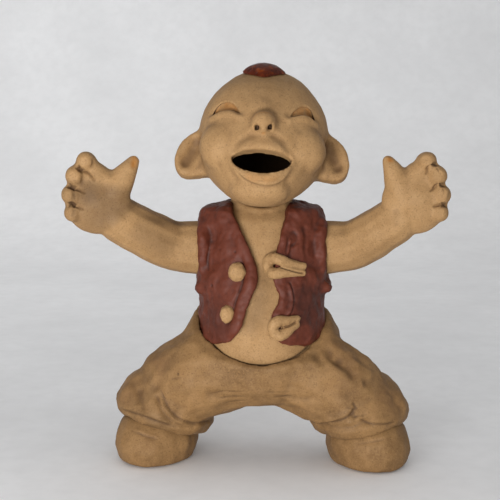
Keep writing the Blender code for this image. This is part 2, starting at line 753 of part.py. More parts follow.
def make_vest_blank():
    """The vest as a slab round a solid body: open at the front, rounded, with rims round the arms."""
    vest = upright("vest_blank", vest_rows())
    cut(vest, slab("front_opening", front_opening(), -3 * BELLY_FRONT, 0.0))
    aside, low = VEST_WIDTH, 0.0
    under_hem = [(-aside, low), (aside, low), (aside, VEST_HEM), (-aside, VEST_HEM)]
    cut(vest, slab("under_hem", under_hem, -0.001, 3 * TORSO_BACK))
    rims = [rim(side) for rim in (armhole_rim, rim_flare) for side in (-1, 1)]
    blank = fuse("vest_blank", [vest, *rims], CLAY_GRAIN, 4)
    for shares, width, depth in VEST_PRESSES:
        press(blank, [on_vest(*share) for share in shares], width, depth)
    thin_out(blank, 880)
    return blank


def make_vest(blank, torso, arms, head):
    """The open sleeveless vest: the blank with the room for torso, arms and head taken out."""
    vest = placed("vest", blank.data.copy())
    seat(vest, torso, *arms, head)
    return vest


def make_knob(name, vest, place, size):
    """One pea of buff clay that fastens a loop, pressed on the vest."""
    x, z = on_vest(*place)
    y = front_surface(vest, x, z)
    width, height = size
    pea = ball(name, (x, y - 0.1 * KNOB_THICKNESS, z), (width, 2 * KNOB_THICKNESS, height))
    knob = fuse(name, [pea], 0.0008, 2)
    thin_out(knob, 80)
    seat(knob, vest)
    return knob


def make_loop(name, carriers, eye, tips):
    """One frog loop: a coil of buff clay bent in half round a small eye, its two ends side by side."""
    radius = LOOP_COIL / 2
    centre = np.array(on_vest(*eye))
    upper, lower = (np.array(on_vest(*tip)) for tip in tips)
    middle = (centre + (upper + lower) / 2) / 2
    ahead = math.atan2(*(middle - centre)[::-1])
    aside = 0.74 * radius * np.array((-math.sin(ahead), math.cos(ahead)))
    bend = []
    for i in range(7):
        a = ahead + math.radians(78 + 34 * i)
        bend.append((*(centre + 1.26 * radius * np.array((math.cos(a), math.sin(a)))), radius))
    path = [
        (*upper, 0.62 * radius),
        (*(middle + aside), 0.84 * radius),
        *bend,
        (*(middle - aside), 0.84 * radius),
        (*lower, 0.62 * radius),
    ]
    rows = []
    for px, pz, r in path:
        surface = min(front_surface(carrier, px, pz) for carrier in carriers)
        rows.append((px, surface - 0.55 * r, pz, r))
    loop = fuse(name, [coil(name, rows, 3)], 0.0008, 2)
    thin_out(loop, 230)
    seat(loop, *carriers)
    return loop


def pelvis_rows():
    """The rings of the trousers round the hips, from the crotch up past the waist."""
    half, front, back, low = HIP_WIDTH / 2, -BELLY_FRONT - WAIST_RIM, SEAT_BACK, CROTCH_HEIGHT
    rings = [
        (0.0, 0.08, 0.12, 0.12),
        (0.05, 0.38, 0.52, 0.52),
        (0.14, 0.66, 0.80, 0.82),
        (0.28, 0.90, 0.93, 0.96),
        (0.46, 1.03, 0.98, 1.00),
        (0.65, 1.03, 1.00, 0.99),
        (0.77, 0.94, 0.95, 0.98),
        (0.88, 0.85, 0.88, 0.97),
        (1.00, 0.82, 0.80, 0.95),
    ]
    return [
        (low + up * HIP_RISE, 0.0, wide * half, ahead * front, behind * back)
        for up, wide, ahead, behind in rings
    ]


def cuff_rows(side):
    """The rings of one baggy trouser leg where it hangs over the shoe."""
    x, half, shift = side * CUFF_SPREAD, CUFF_WIDTH / 2, -side * STEP_FORWARD
    rings = [
        (0.0, 1.05, 0.68, -0.92, 0.54),
        (0.06, 1.04, 0.88, -1.17, 0.81),
        (0.24, 1.03, 1.00, -1.29, 0.93),
        (0.47, 1.00, 0.94, -1.27, 0.92),
        (0.76, 0.95, 0.82, -1.08, 0.75),
        (1.00, 0.90, 0.50, -0.78, 0.41),
    ]
    rows = []
    for up, out, wide, ahead, behind in rings:
        level, toe, heel = CUFF_HEIGHT + up * CUFF_RISE, shift + ahead * half, shift + behind * half
        rows.append((level, out * x, wide * half, toe, heel))
    return rows


def make_cuff(side):
    """One cuff, lower at the fork of the legs than on the outside."""
    cuff = upright("cuff", cuff_rows(side))
    slant = Matrix.Identity(4)
    slant[2][0] = side * CUFF_SLANT[side]
    slant[2][3] = -CUFF_SLANT[side] * CUFF_SPREAD
    cuff.data.transform(slant)
    return cuff


def waist_cutter():
    """The space above the waist rim, which is low under the belly and higher behind."""
    rim = [(-1.38, 0.36), (-1.03, 0.48), (-0.73, 0.615), (-0.35, 0.777), (0.08, 0.877), (0.55, 0.923)]
    line = [(y * SEAT_BACK, CROTCH_HEIGHT + up * HIP_RISE) for y, up in smooth_rows(rim)]
    behind, above = 1.75 * SEAT_BACK, CROTCH_HEIGHT + 2.6 * HIP_RISE
    outline = [*line, (behind, CROTCH_HEIGHT + 0.938 * HIP_RISE), (behind, above), (line[0][0], above)]
    cutter = slab("above_waist", outline, -HIP_WIDTH, HIP_WIDTH)
    cutter.data.transform(Matrix.Rotation(math.radians(90), 4, "Z"))
    return cutter


TROUSER_FOLDS = {
    # each fold as its points on that leg, out from the middle and up from the hem, its width and depth
    -1: (
        (((1.062, 0.479), (1.009, 0.333), (0.885, 0.188), (0.699, 0.108)), 0.0055, 0.0022),
        (((1.434, 0.156), (1.204, 0.108), (0.920, 0.010)), 0.0050, 0.0014),
        (((1.319, 0.573), (1.239, 0.458), (1.221, 0.333)), 0.0060, 0.0012),
    ),
    1: (
        (((0.425, 0.156), (0.655, 0.156), (0.885, 0.188), (1.097, 0.292)), 0.0050, 0.0018),
        (((0.673, 1.021), (0.832, 0.896), (0.920, 0.792)), 0.0080, 0.0018),
        (((0.885, 0.396), (0.938, 0.292), (1.027, 0.229)), 0.0045, 0.0012),
    ),
}


def on_leg(side, out, up):
    """A place on the front of one leg: a share of the cuffs' spread, and of the thigh's thickness."""
    return side * out * CUFF_SPREAD, CUFF_HEIGHT + up * THIGH_THICKNESS


def leg_path(side):
    """Hip to knee of one leg, with the radius at each point."""
    radius, shift, low = THIGH_THICKNESS / 2, -side * STEP_FORWARD, CROTCH_HEIGHT
    knee = CUFF_HEIGHT + KNEE_RISE[side] * THIGH_THICKNESS
    spread, high = side * CUFF_SPREAD, 0.4 * low + 0.6 * knee + 0.65 * radius
    return [
        (0.28 * spread, -0.50 * radius, low + 1.12 * radius, 1.10 * radius),
        (0.62 * spread, -0.56 * radius + 0.5 * shift, high, 1.10 * radius),
        (0.86 * spread, -0.50 * radius + shift, knee + 0.25 * radius, 1.03 * radius),
        (spread, -0.42 * radius + shift, knee, 0.92 * radius),
    ]


def make_trousers(torso, vest_blank, shoes):
    """Baggy trousers: hips, bent legs and cuffs in one lump, with folds and a socket for the belly."""
    pieces = [upright("pelvis", pelvis_rows())]
    for side in (-1, 1):
        pieces.append(coil("leg", leg_path(side)))
        pieces.append(make_cuff(side))
    trousers = fuse("trousers", pieces, 0.0016, 8)
    cut(trousers, waist_cutter())
    cut(trousers, swollen(torso, 2 * SLIP_GAP))
    trousers = fuse("trousers", [trousers], 0.0014, 3)
    for side, folds in TROUSER_FOLDS.items():
        for shares, width, depth in folds:
            press(trousers, [on_leg(side, *share) for share in shares], width, depth)
    fork = 0.53 * CUFF_SPREAD
    fork_line = [(-fork, 0.014), (0.0, 0.011), (fork, 0.013)]
    press(trousers, [(x, CROTCH_HEIGHT + up) for x, up in fork_line], 0.010, 0.0009)
    press(trousers, [(0.0, CROTCH_HEIGHT + 0.044), (0.0, CROTCH_HEIGHT + 0.009)], 0.0060, 0.0020, facing=1)
    thin_out(trousers, 1380)
    seat(trousers, torso, vest_blank, *shoes)
    return trousers


def wipe_flat(shoe, level):
    """Makes the skin below this level one flat sole, as wet clay gets on the board it is set down on."""
    skin = bmesh.new()
    skin.from_mesh(shoe.data)
    for corner in skin.verts:
        if corner.co.z < level:
            corner.co.z = 0.0
    flat = [face for face in skin.faces if all(corner.co.z == 0.0 for corner in face.verts)]
    bmesh.ops.dissolve_faces(skin, faces=flat)
    skin.to_mesh(shoe.data)
    skin.free()


def make_shoe(name, side):
    """One plain round shoe with a flat sole, turned outwards."""
    half, toe, heel, high = SHOE_WIDTH / 2, -0.52 * SHOE_LENGTH, 0.48 * SHOE_LENGTH, SHOE_HEIGHT
    rows = [
        (0.0, 0.0, 0.76 * half, 0.78 * toe, 0.78 * heel),
        (0.06 * high, 0.0, 0.90 * half, 0.91 * toe, 0.91 * heel),
        (0.28 * high, 0.0, half, toe, heel),
        (0.52 * high, 0.0, 0.98 * half, 0.96 * toe, 0.98 * heel),
        (0.78 * high, 0.0, 0.82 * half, 0.78 * toe, 0.84 * heel),
        (0.96 * high, 0.0, 0.42 * half, 0.38 * toe, 0.42 * heel),
        (high, 0.0, 0.10 * half, 0.08 * toe, 0.10 * heel),
    ]
    shoe = upright(name, rows)
    thin_out(shoe, 260)
    wipe_flat(shoe, 0.02 * high)
    shoe.matrix_world = Matrix.Translation(
        (side * SHOE_SPREAD, -0.008 - side * STEP_FORWARD, 0.0)
    ) @ Matrix.Rotation(side * TOE_OUT, 4, "Z")
    return shoe


def stand_at_origin(pieces):
    """Puts the middle of the figure's footprint at the origin. The empty that carries all is moved."""
    bpy.context.view_layer.update()
    boxes = [(piece.matrix_world, piece.bound_box) for piece in pieces]
    corners = np.array([matrix @ Vector(corner) for matrix, box in boxes for corner in box])
    low, high = corners.min(axis=0), corners.max(axis=0)
    figure = placed("figure", None)
    for piece in pieces:
        piece.parent = figure
    figure.location = (-(low[0] + high[0]) / 2, -(low[1] + high[1]) / 2, -low[2])


def build():
    """Makes every piece, in the order in which each finds what carries it."""
    clear_scene()
    buff = fired("buff_clay", BUFF_CLAY, 0.75)
    red = fired("red_clay", RED_CLAY, 0.55)
    brown = fired("brown_clay", BROWN_CLAY, 0.75)
    glaze = fired("glazed_red", GLAZED_RED, 0.25)

    head = make_head()
    tuft = make_tuft(head)
    torso = make_torso(head)
    arms = [make_arm("right_arm", -1, torso), make_arm("left_arm", 1, torso)]
    vest_blank = make_vest_blank()
    vest = make_vest(vest_blank, torso, arms, head)
    shoes = [make_shoe("right_shoe", -1), make_shoe("left_shoe", 1)]
    trousers = make_trousers(torso, vest_blank, shoes)
    upper_knob_size = (UPPER_KNOB_SIZE, 1.08 * UPPER_KNOB_SIZE)
    lower_knob_size = (LOWER_KNOB_SIZE, 1.25 * LOWER_KNOB_SIZE)
    knobs = [
        make_knob("upper_knob", vest_blank, (-0.379, 0.662), upper_knob_size),
        make_knob("lower_knob", vest_blank, (-0.528, 0.430), lower_knob_size),
    ]
    loops = [
        make_loop("upper_loop", (vest_blank, torso), (0.185, 0.700), ((0.630, 0.690), (0.612, 0.652))),
        make_loop("lower_loop", (vest_blank, torso), (0.262, 0.364), ((0.525, 0.408), (0.520, 0.374))),
    ]
    bpy.data.objects.remove(vest_blank)
    for piece in (head, torso, *arms, *knobs, *loops):
        piece.data.materials.clear()
        piece.data.materials.append(buff)
    for piece, clay in ((vest, red), (tuft, glaze), *((lump, brown) for lump in (trousers, *shoes))):
        piece.data.materials.clear()
        piece.data.materials.append(clay)
    pieces = [head, tuft, torso, *arms, vest, trousers, *shoes, *knobs, *loops]
    for piece in pieces:
        piece.data.shade_smooth()
        piece.data.set_sharp_from_angle(angle=math.radians(50))
    stand_at_origin(pieces)


build()
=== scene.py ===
"""Clay child figurine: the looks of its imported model, lump by lump, in metres and in the model's frame.

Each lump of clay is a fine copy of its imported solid. It is kneaded to an even grain, and then worked with
strokes of modelling tools. A stroke is given in pixels of the photograph and is pulled over the clay.
"""

from __future__ import annotations

import logging
import math
from dataclasses import dataclass, field
from enum import Enum

import bpy
import numpy as np
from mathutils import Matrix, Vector, noise
from mathutils.bvhtree import BVHTree


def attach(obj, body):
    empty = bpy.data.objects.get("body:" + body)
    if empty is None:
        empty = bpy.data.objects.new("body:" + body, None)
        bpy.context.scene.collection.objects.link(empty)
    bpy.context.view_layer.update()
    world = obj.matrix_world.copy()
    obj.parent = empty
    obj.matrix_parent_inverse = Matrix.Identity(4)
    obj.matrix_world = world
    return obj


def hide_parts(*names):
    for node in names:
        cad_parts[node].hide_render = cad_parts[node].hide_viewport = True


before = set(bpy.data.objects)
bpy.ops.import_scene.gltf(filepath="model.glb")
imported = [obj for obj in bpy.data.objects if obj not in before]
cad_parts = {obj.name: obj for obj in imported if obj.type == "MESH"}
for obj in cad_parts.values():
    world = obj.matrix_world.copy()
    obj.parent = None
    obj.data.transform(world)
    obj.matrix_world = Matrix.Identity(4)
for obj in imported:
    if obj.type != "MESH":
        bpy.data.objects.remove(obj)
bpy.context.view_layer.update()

LOG = logging.getLogger("figurine")
MM = 0.001
Pixel = tuple[float, float]
Colour = tuple[float, float, float]
Place = tuple[float, float, float]


def only(obj: bpy.types.Object) -> None:
    """Selects this object alone and makes it the active one."""
    bpy.ops.object.select_all(action="DESELECT")
    obj.select_set(True)
    bpy.context.view_layer.objects.active = obj


def smooth_line(points: np.ndarray, step: float) -> np.ndarray:
    """Runs a smooth line through points.

    Args:
        points: rows of coordinates.
        step: the greatest distance between two rows of the result.

    Returns:
        The rows of the line, the first and last of the points among them.
    """
    points = np.asarray(points, float)
    if len(points) == 1:
        return points
    rows = np.vstack([2 * points[0] - points[1], points, 2 * points[-1] - points[-2]])
    line = []
    for before, start, end, after in zip(rows, rows[1:], rows[2:], rows[3:]):
        count = max(1, math.ceil(float(np.linalg.norm(end - start)) / step))
        for t in np.arange(count) / count:
            line.append(
                start
                + 0.5 * t * (end - before)
                + t**2 * (before - 2.5 * start + 2 * end - 0.5 * after)
                + t**3 * (1.5 * (start - end) + 0.5 * (after - before))
            )
    return np.vstack([line, points[-1]])


@dataclass(frozen=True)
class Viewpoint:
    """Where the photograph was taken from. Its pixels run right and down from the top left corner."""

    target: Place = (-0.00355, 0.00196, 0.124)
    elevation: float = math.radians(8)
    distance: float = 0.75
    lens: float = 91.5
    sensor: float = 36.0
    picture: int = 500

    @property
    def share(self) -> float:
        """The width of a pixel one metre in front of the camera."""
        return self.sensor / self.lens / self.picture

    @property
    def up(self) -> Vector:
        """The direction in which the picture's columns rise."""
        return Vector((0.0, math.sin(self.elevation), math.cos(self.elevation)))

    @property
    def outwards(self) -> Vector:
        """The direction from the figure to the camera."""
        return Vector((0.0, -math.cos(self.elevation), math.sin(self.elevation)))

    @property
    def position(self) -> Vector:
        """Where the camera stands."""
        return Vector(self.target) + self.outwards * self.distance

    def ray(self, pixel: Pixel) -> Vector:
        """The direction in which the camera sees a pixel."""
        across, down = ((value - self.picture / 2) * self.share for value in pixel)
        return (Vector((across, 0.0, 0.0)) - self.up * down - self.outwards).normalized()

    def see(self, points: np.ndarray) -> tuple[np.ndarray, np.ndarray]:
        """Where the camera sees points.

        Args:
            points: rows of x, y and z.

        Returns:
            Rows of pixels, and how far in front of the camera each point is.
        """
        offset = points - np.array(self.position)
        away = -(offset @ np.array(self.outwards))
        across, above = offset[:, 0] / away / self.share, offset @ np.array(self.up) / away / self.share
        return np.column_stack((self.picture / 2 + across, self.picture / 2 - above)), away

    def set_up(self) -> None:
        """Adds the camera and makes it the scene's own."""
        bpy.ops.object.camera_add(location=self.position, rotation=(math.pi / 2 - self.elevation, 0.0, 0.0))
        camera = bpy.context.object
        camera.name = "photograph_camera"
        camera.data.lens = self.lens
        camera.data.sensor_width = self.sensor
        camera.data.clip_start = 0.01
        bpy.context.scene.camera = camera


class Profile(Enum):
    """What a tool leaves across its line. Right lies below a line that is drawn from left to right."""

    GROOVE = "a round furrow, or a round ridge where the depth is negative"
    CUT = "a narrow V"
    LEDGE = "only the clay on the right goes down, or up where the depth is negative"
    FOLD = "the clay on the left laps over the clay on the right"
    FACET = "the clay is pressed flat"


@dataclass(frozen=True)
class Stroke:
    """One pull of a tool along pixels of the photograph. Its width and depth are in millimetres.

    A positive stain rubs the finish's own stain in, and a negative one paints shade in the finish's shade
    colour.
    """

    points: tuple[Pixel, ...]
    width: float
    depth: float
    profile: Profile = Profile.GROOVE
    fade: float = 0.3
    stain: float = 0.0


@dataclass(frozen=True)
class Scoop:
    """A hollow between two lines of pixels that run from left to right. Its depths are in millimetres."""

    upper: tuple[Pixel, ...]
    lower: tuple[Pixel, ...]
    shallow: float
    deep: float
    stain: float = 0.0


def stain_and_shade_wash(points: tuple[Pixel, ...], width: float, stain: float, fade: float = 0.3) -> Stroke:
    """Colour along a line that leaves no mark: the clay's own stain where it is positive, painted shade
    where it is negative.
    """
    return Stroke(points, width, 0.0, fade=fade, stain=stain)


def shaded_crease(points: tuple[Pixel, ...], width: float, depth: float) -> tuple[Stroke, ...]:
    """A wide soft cut, with painted shade where it starts and a thin line of painted shade along its bottom.

    Args:
        points: its line in the photograph.
        width: its width in millimetres.
        depth: its depth in millimetres.

    Returns:
        The strokes of the cut, which is widest where it starts, and of the line.
    """
    return (
        Stroke(points[:3], width, depth, Profile.CUT, 0.15, -0.6),
        Stroke(points, 0.62 * width, 0.7 * depth, Profile.CUT, 0.45),
        Stroke(points, 1.5, 0.3, Profile.CUT, 0.5, -1.0),
    )


def tips(*pads: tuple[float, float, float, float]) -> tuple[Stroke, ...]:
    """The pads of fingertips, each pressed flat.

    Args:
        *pads: the pixel right and down at each pad's middle, and its width and depth in millimetres.

    Returns:
        A stroke for each pad.
    """
    return tuple(Stroke(((right, down),), width, depth, Profile.FACET) for right, down, width, depth in pads)


class Clay:
    """A lump of clay under the tools: a fine mesh whose points strokes move."""

    FACING = -0.2  # cosine to the camera's direction below which the skin counts as turned away
    FACE_DEPTH = 0.024  # metres behind a place's nearest point that are still refined
    SCOOP_DEPTH = 0.012  # metres behind and before a scoop's own level that it reaches
    RUB = 0.5  # share of the way to its neighbours that one rub moves a point
    SAME_SIDE = 0.1  # cosine to the skin under a line from which a stroke takes hold
    SIDE_BLUR = 0.8  # share of the grain over which the two sides of a line run together
    THINNEST = 0.2  # pixels between a scoop's two lines from which it takes clay
    FULL_HEIGHT = 0.45  # share of a scoop's greatest height from which it is at its full depth

    def __init__(self, name: str, node: str, grain: float, view: Viewpoint) -> None:
        """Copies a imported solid, with its doubled points merged.

        Args:
            name: the name of the new piece.
            node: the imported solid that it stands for.
            grain: the distance between neighbouring points, in millimetres.
            view: the viewpoint from which strokes are drawn.
        """
        self.node = node
        self.view = view
        self.grain = grain * MM
        self.obj = bpy.data.objects.new(name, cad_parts[node].data.copy())
        bpy.context.scene.collection.objects.link(self.obj)
        only(self.obj)
        bpy.ops.object.mode_set(mode="EDIT")
        bpy.ops.mesh.select_all(action="SELECT")
        bpy.ops.mesh.remove_doubles(threshold=1e-6)
        bpy.ops.object.mode_set(mode="OBJECT")

    def knead(self, rounds: int, slack: float = 0.03) -> None:
        """Makes one even skin of all that the lump holds and rubs its facets away.

        Args:
            rounds: how often the skin is rubbed. Its volume stays.
            slack: how much stronger the way back is than the rub. Less of it rubs wider facets away.
        """
        only(self.obj)
        remesh = self.obj.modifiers.new("Knead", "REMESH")
        remesh.mode = "VOXEL"
        remesh.voxel_size = self.grain
        bpy.ops.object.modifier_apply(modifier="Knead")
        self.read()
        self.smooth(rounds, slack)
        self.settle()

    def read(self) -> None:
        """Reads the points of the mesh and which of them are neighbours."""
        mesh = self.obj.data
        self.points = np.empty(len(mesh.vertices) * 3)
        mesh.vertices.foreach_get("co", self.points)
        self.points = self.points.reshape(-1, 3)
        edges = np.empty(len(mesh.edges) * 2, np.int32)
        mesh.edges.foreach_get("vertices", edges)
        self.edges = edges.reshape(-1, 2)
        self.neighbours = np.bincount(edges, minlength=len(self.points))[:, None]
        self.stains_and_shade = np.zeros(len(self.points))

    def smooth(self, rounds: int, slack: float = 0.03) -> None:
        """Rubs facets away without loss of volume."""
        for _ in range(rounds):
            self.points += self.RUB * self.lean(self.points)
            self.points -= (self.RUB + slack) * self.lean(self.points)

    def refine(self, *boxes: tuple[float, float, float, float]) -> None:
        """Halves the grain where fine work follows. No stroke is drawn before this.

        Args:
            *boxes: left, top, right and bottom pixels of the places, on the side that faces the camera.
        """
        mesh = self.obj.data
        pixels, away = self.view.see(self.points)
        fronts = self.normals @ np.array(self.view.outwards) > self.FACING
        wanted = np.zeros(len(self.points), bool)
        for left, top, right, bottom in boxes:
            inside = fronts & (pixels[:, 0] > left) & (pixels[:, 0] < right)
            inside &= (pixels[:, 1] > top) & (pixels[:, 1] < bottom)
            if inside.any():
                wanted |= inside & (away < away[inside].min() + self.FACE_DEPTH)
        first = np.empty(len(mesh.polygons), np.int32)
        mesh.polygons.foreach_get("loop_start", first)
        corners = np.empty(len(mesh.loops), np.int32)
        mesh.loops.foreach_get("vertex_index", corners)
        only(self.obj)
        bpy.ops.object.mode_set(mode="EDIT")
        bpy.ops.mesh.select_mode(type="FACE")
        bpy.ops.mesh.select_all(action="DESELECT")
        bpy.ops.object.mode_set(mode="OBJECT")
        mesh.polygons.foreach_set("select", wanted[corners[first]])
        bpy.ops.object.mode_set(mode="EDIT")
        bpy.ops.mesh.subdivide(number_cuts=1, smoothness=0.0, ngon=False)
        bpy.ops.object.mode_set(mode="OBJECT")
        self.read()
        self.smooth(3)
        self.settle()

    def lean(self, values: np.ndarray) -> np.ndarray:
        """How far the mean of each point's neighbours is from the point's own values."""
        first, second = self.edges[:, 0], self.edges[:, 1]
        total = np.empty_like(values)
        for i in range(values.shape[1]):
            total[:, i] = np.bincount(first, values[second, i], len(values))
            total[:, i] += np.bincount(second, values[first, i], len(values))
        return total / self.neighbours - values

    def settle(self) -> None:
        """Writes the points back to the mesh and reads its normals."""
        mesh = self.obj.data
        mesh.vertices.foreach_set("co", self.points.ravel())
        mesh.update()
        normals = np.empty(self.points.size)
        mesh.vertices.foreach_get("normal", normals)
        self.normals = normals.reshape(-1, 3)
        bpy.context.view_layer.update()
        self.skin = BVHTree.FromObject(self.obj, bpy.context.evaluated_depsgraph_get())

    def trace(self, pixels: tuple[Pixel, ...]) -> tuple[np.ndarray, np.ndarray]:
        """Lays a line of pixels on the clay.

        Args:
            pixels: the line's points in the photograph.

        Returns:
            The places where the camera sees the line on the clay, and the clay's normals there.
        """
        places, normals = [], []
        eye = self.view.position
        for pixel in smooth_line(np.array(pixels), 1.0):
            place, normal, *_ = self.skin.ray_cast(eye, self.view.ray(pixel))
            if place is not None:
                places.append(place)
                normals.append(normal)
        return np.array(places), np.array(normals)

    def draw(self, stroke: Stroke) -> None:
        """Pulls a tool over the clay.

        Args:
            stroke: the tool's line, width, depth and profile.
        """
        line, facing = self.trace(stroke.points)
        if not len(line):
            LOG.warning("%s: a stroke at %s misses the clay", self.obj.name, stroke.points[0])
            return
        reach = stroke.width / 2 * MM
        near = np.all((self.points > line.min(0) - reach) & (self.points < line.max(0) + reach), axis=1)
        index = np.nonzero(near)[0]
        points, normals = self.points[index], self.normals[index]
        best = np.full(len(points), np.inf)
        spot, front, ahead = (np.zeros((len(points), 3)) for _ in range(3))
        share = np.zeros(len(points))
        last = max(1, len(line) - 1)
        for i in range(last):
            start, end = line[i], line[min(i + 1, len(line) - 1)]
            way = end - start
            t = np.clip((points - start) @ way / max(way @ way, 1e-14), 0, 1)
            at = start + t[:, None] * way
            distance = np.linalg.norm(points - at, axis=1)
            closer = distance < best
            best[closer] = distance[closer]
            spot[closer] = at[closer]
            ahead[closer] = way
            front[closer] = facing[i]
            share[closer] = (i + t[closer]) / last
        inside = (best < reach) & (np.einsum("ij,ij->i", normals, front) > self.SAME_SIDE)
        if not inside.any():
            return
        index, points, normals = index[inside], points[inside], normals[inside]
        best, share = best[inside], share[inside]
        spot, front, ahead = spot[inside], front[inside], ahead[inside]
        across = best / reach
        weight = np.ones(len(index))
        if stroke.fade > 0 and len(line) > 1:
            weight = np.clip(np.minimum(share, 1 - share) / stroke.fade, 0, 1)
            weight = weight * (2 - weight)
        depth = stroke.depth * MM
        offset = points - spot
        left = np.sign(np.einsum("ij,ij->i", np.cross(ahead, offset), front))
        left = left * np.clip(best / (self.SIDE_BLUR * self.grain), 0, 1)
        push = (front + normals) / 2
        if stroke.profile is Profile.GROOVE:
            amount = depth * (1 - across**2) ** 2
        elif stroke.profile is Profile.CUT:
            amount = depth * (1 - across)
        elif stroke.profile is Profile.LEDGE:
            amount = depth * np.clip(0.5 - 0.5 * left, 0, 1) * (1 - across) ** 2 * (1 + 2 * across)
        elif stroke.profile is Profile.FOLD:
            amount = -depth * left * (1 - across) ** 2
        else:
            above = np.einsum("ij,ij->i", offset, front) + depth
            amount = np.maximum(above, 0) * (1 - across**2)
            push = front
        self.points[index] -= push * (amount * weight)[:, None]
        self.stains_and_shade[index] += stroke.stain * (1 - across**2) ** 2 * weight

    def scoop(self, scoop: Scoop) -> None:
        """Takes clay out between two lines.

        Args:
            scoop: the two lines, and the depths along the upper and the lower one.
        """
        pixels, away = self.view.see(self.points)
        upper, lower = (smooth_line(np.array(line), 0.5) for line in (scoop.upper, scoop.lower))
        middle = lower[len(lower) // 2]
        place, *_ = self.skin.ray_cast(self.view.position, self.view.ray(tuple(middle)))
        if place is None:
            LOG.warning("%s: a scoop at %s misses the clay", self.obj.name, scoop.upper[0])
            return
        level = (place - self.view.position).length
        left, right = max(upper[0, 0], lower[0, 0]), min(upper[-1, 0], lower[-1, 0])
        top = np.interp(pixels[:, 0], upper[:, 0], upper[:, 1])
        height = np.interp(pixels[:, 0], lower[:, 0], lower[:, 1]) - top
        down = (pixels[:, 1] - top) / np.maximum(height, 1e-3)
        inside = (pixels[:, 0] > left) & (pixels[:, 0] < right) & (down > 0) & (down < 1)
        inside &= height > self.THINNEST
        inside &= np.abs(away - level) < self.SCOOP_DEPTH
        inside &= self.normals @ np.array(self.view.outwards) > self.FACING / 2
        share = np.clip(height[inside] / (self.FULL_HEIGHT * height[inside].max(initial=1e-3)), 0, 1)
        depth = (scoop.shallow + (scoop.deep - scoop.shallow) * down[inside]) * share * MM
        self.points[inside] -= depth[:, None] * np.array(self.view.outwards)
        self.stains_and_shade[inside] += scoop.stain * share

    def work(self, strokes: tuple[Stroke | Scoop, ...]) -> None:
        """Makes strokes and scoops one after another."""
        for stroke in strokes:
            if isinstance(stroke, Scoop):
                self.scoop(stroke)
            else:
                self.draw(stroke)
        self.settle()

    def dent(self, height: float, size: float, seed: float) -> None:
        """Leaves the unevenness of fingers all over the skin.

        Args:
            height: how far the clay rises and falls, in millimetres.
            size: the width of one dent, in millimetres.
            seed: where the pattern starts.
        """
        shift = Vector((seed, -seed, 2 * seed))
        rise = [noise.noise(Vector(point) / (size * MM) + shift) for point in self.points.tolist()]
        self.points += self.normals * (np.array(rise) * height * MM)[:, None]
        self.settle()

    def hollows(self) -> np.ndarray:
        """How deep each point lies below the clay around it: 0 on open clay, 1 half a millimetre down. The
        finish paints shade in creases by it.
        """
        rounds, full = 14, 0.5 * MM
        around = self.points.copy()
        for _ in range(rounds):
            around += self.RUB * self.lean(around)
        return np.clip(np.einsum("ij,ij->i", around - self.points, self.normals) / full, 0, 1)

    def leave(self, finish: ClayFinish | GlazeFinish) -> None:
        """Takes the tools away: the piece gets its finish and stands for its solid.

        Args:
            finish: the finish of its surface.
        """
        self.settle()
        mesh = self.obj.data
        # The hollow attribute carries the painted shade of creases; negative stain values are painted shade.
        for name, values in (("hollow", self.hollows()), ("stain", np.clip(self.stains_and_shade, -1, 1))):
            layer = mesh.attributes.new(name, "FLOAT", "POINT")
            layer.data.foreach_set("value", values.astype(np.float32))
        mesh.materials.clear()
        mesh.materials.append(finish.material())
        only(self.obj)
        bpy.ops.object.shade_smooth()
        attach(self.obj, "root")
        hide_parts(self.node)
        LOG.info("%s: %d points, %s", self.obj.name, len(self.points), finish.slot)


class Recipe:
    """A material's node tree while it is written."""

    def __init__(self, name: str) -> None:
        """Starts a material of this name with a Principled shader and nothing else."""
        self.made = bpy.data.materials.new(name)
        self.made.use_nodes = True
        self.tree = self.made.node_tree
        self.shader = self.tree.nodes["Principled BSDF"]

    def add(self, kind: str, settings: dict | None = None, **inputs: object) -> bpy.types.Node:
        """Adds a node.

        Args:
            kind: the node's type name without its ShaderNode prefix.
            settings: properties of the node.
            **inputs: values or output sockets for its inputs, with spaces written as _.

        Returns:
            The node.
        """
        node = self.tree.nodes.new(f"ShaderNode{kind}")
        for name, value in (settings or {}).items():
            setattr(node, name, value)
        for name, value in inputs.items():
            self.plug(node.inputs[name.replace("_", " ")], value)
        return node

    def plug(self, socket: bpy.types.NodeSocket, value: object) -> None:
        """Links an output to a socket, or sets the socket's own value."""
        if isinstance(value, bpy.types.NodeSocket):
            self.tree.links.new(value, socket)
        else:
            socket.default_value = value

    def surface(self, **inputs: object) -> None:
        """Sets inputs of the Principled shader, with spaces in their names written as _."""
        for name, value in inputs.items():
            self.plug(self.shader.inputs[name.replace("_", " ")], value)

    def product(self, value: object, by: object, clamp: bool = False) -> bpy.types.NodeSocket:
        """The product of two numbers or output sockets. A clamp holds it between 0 and 1."""
        node = self.add("Math", {"operation": "MULTIPLY", "use_clamp": clamp})
        self.plug(node.inputs[0], value)
        self.plug(node.inputs[1], by)
        return node.outputs[0]

    def mix(self, share: object, first: object, second: object) -> bpy.types.NodeSocket:
        """A mix of two colours, each a colour or an output socket."""
        node = self.tree.nodes.new("ShaderNodeMix")
        node.data_type = "RGBA"
        self.plug(node.inputs["Factor"], share)
        for socket, value in zip((node.inputs[6], node.inputs[7]), (first, second)):
            self.plug(socket, (*value, 1.0) if isinstance(value, tuple) else value)
        return node.outputs[2]

    def spots(
        self, coords: bpy.types.NodeSocket, size: float, low: float, high: float
    ) -> bpy.types.NodeSocket:
        """Soft spots.

        Args:
            coords: the coordinates to read.
            size: the size of a spot in metres.
            low: the noise value that gives 0.
            high: the noise value that gives 1.

        Returns:
            The spots' output, from 0 to 1.
        """
        source = self.add("TexNoise", Vector=coords, Scale=1 / size, Detail=3.0, Roughness=0.6)
        spread = {"From_Min": low, "From_Max": high}
        return self.add("MapRange", Value=source.outputs["Fac"], **spread).outputs["Result"]


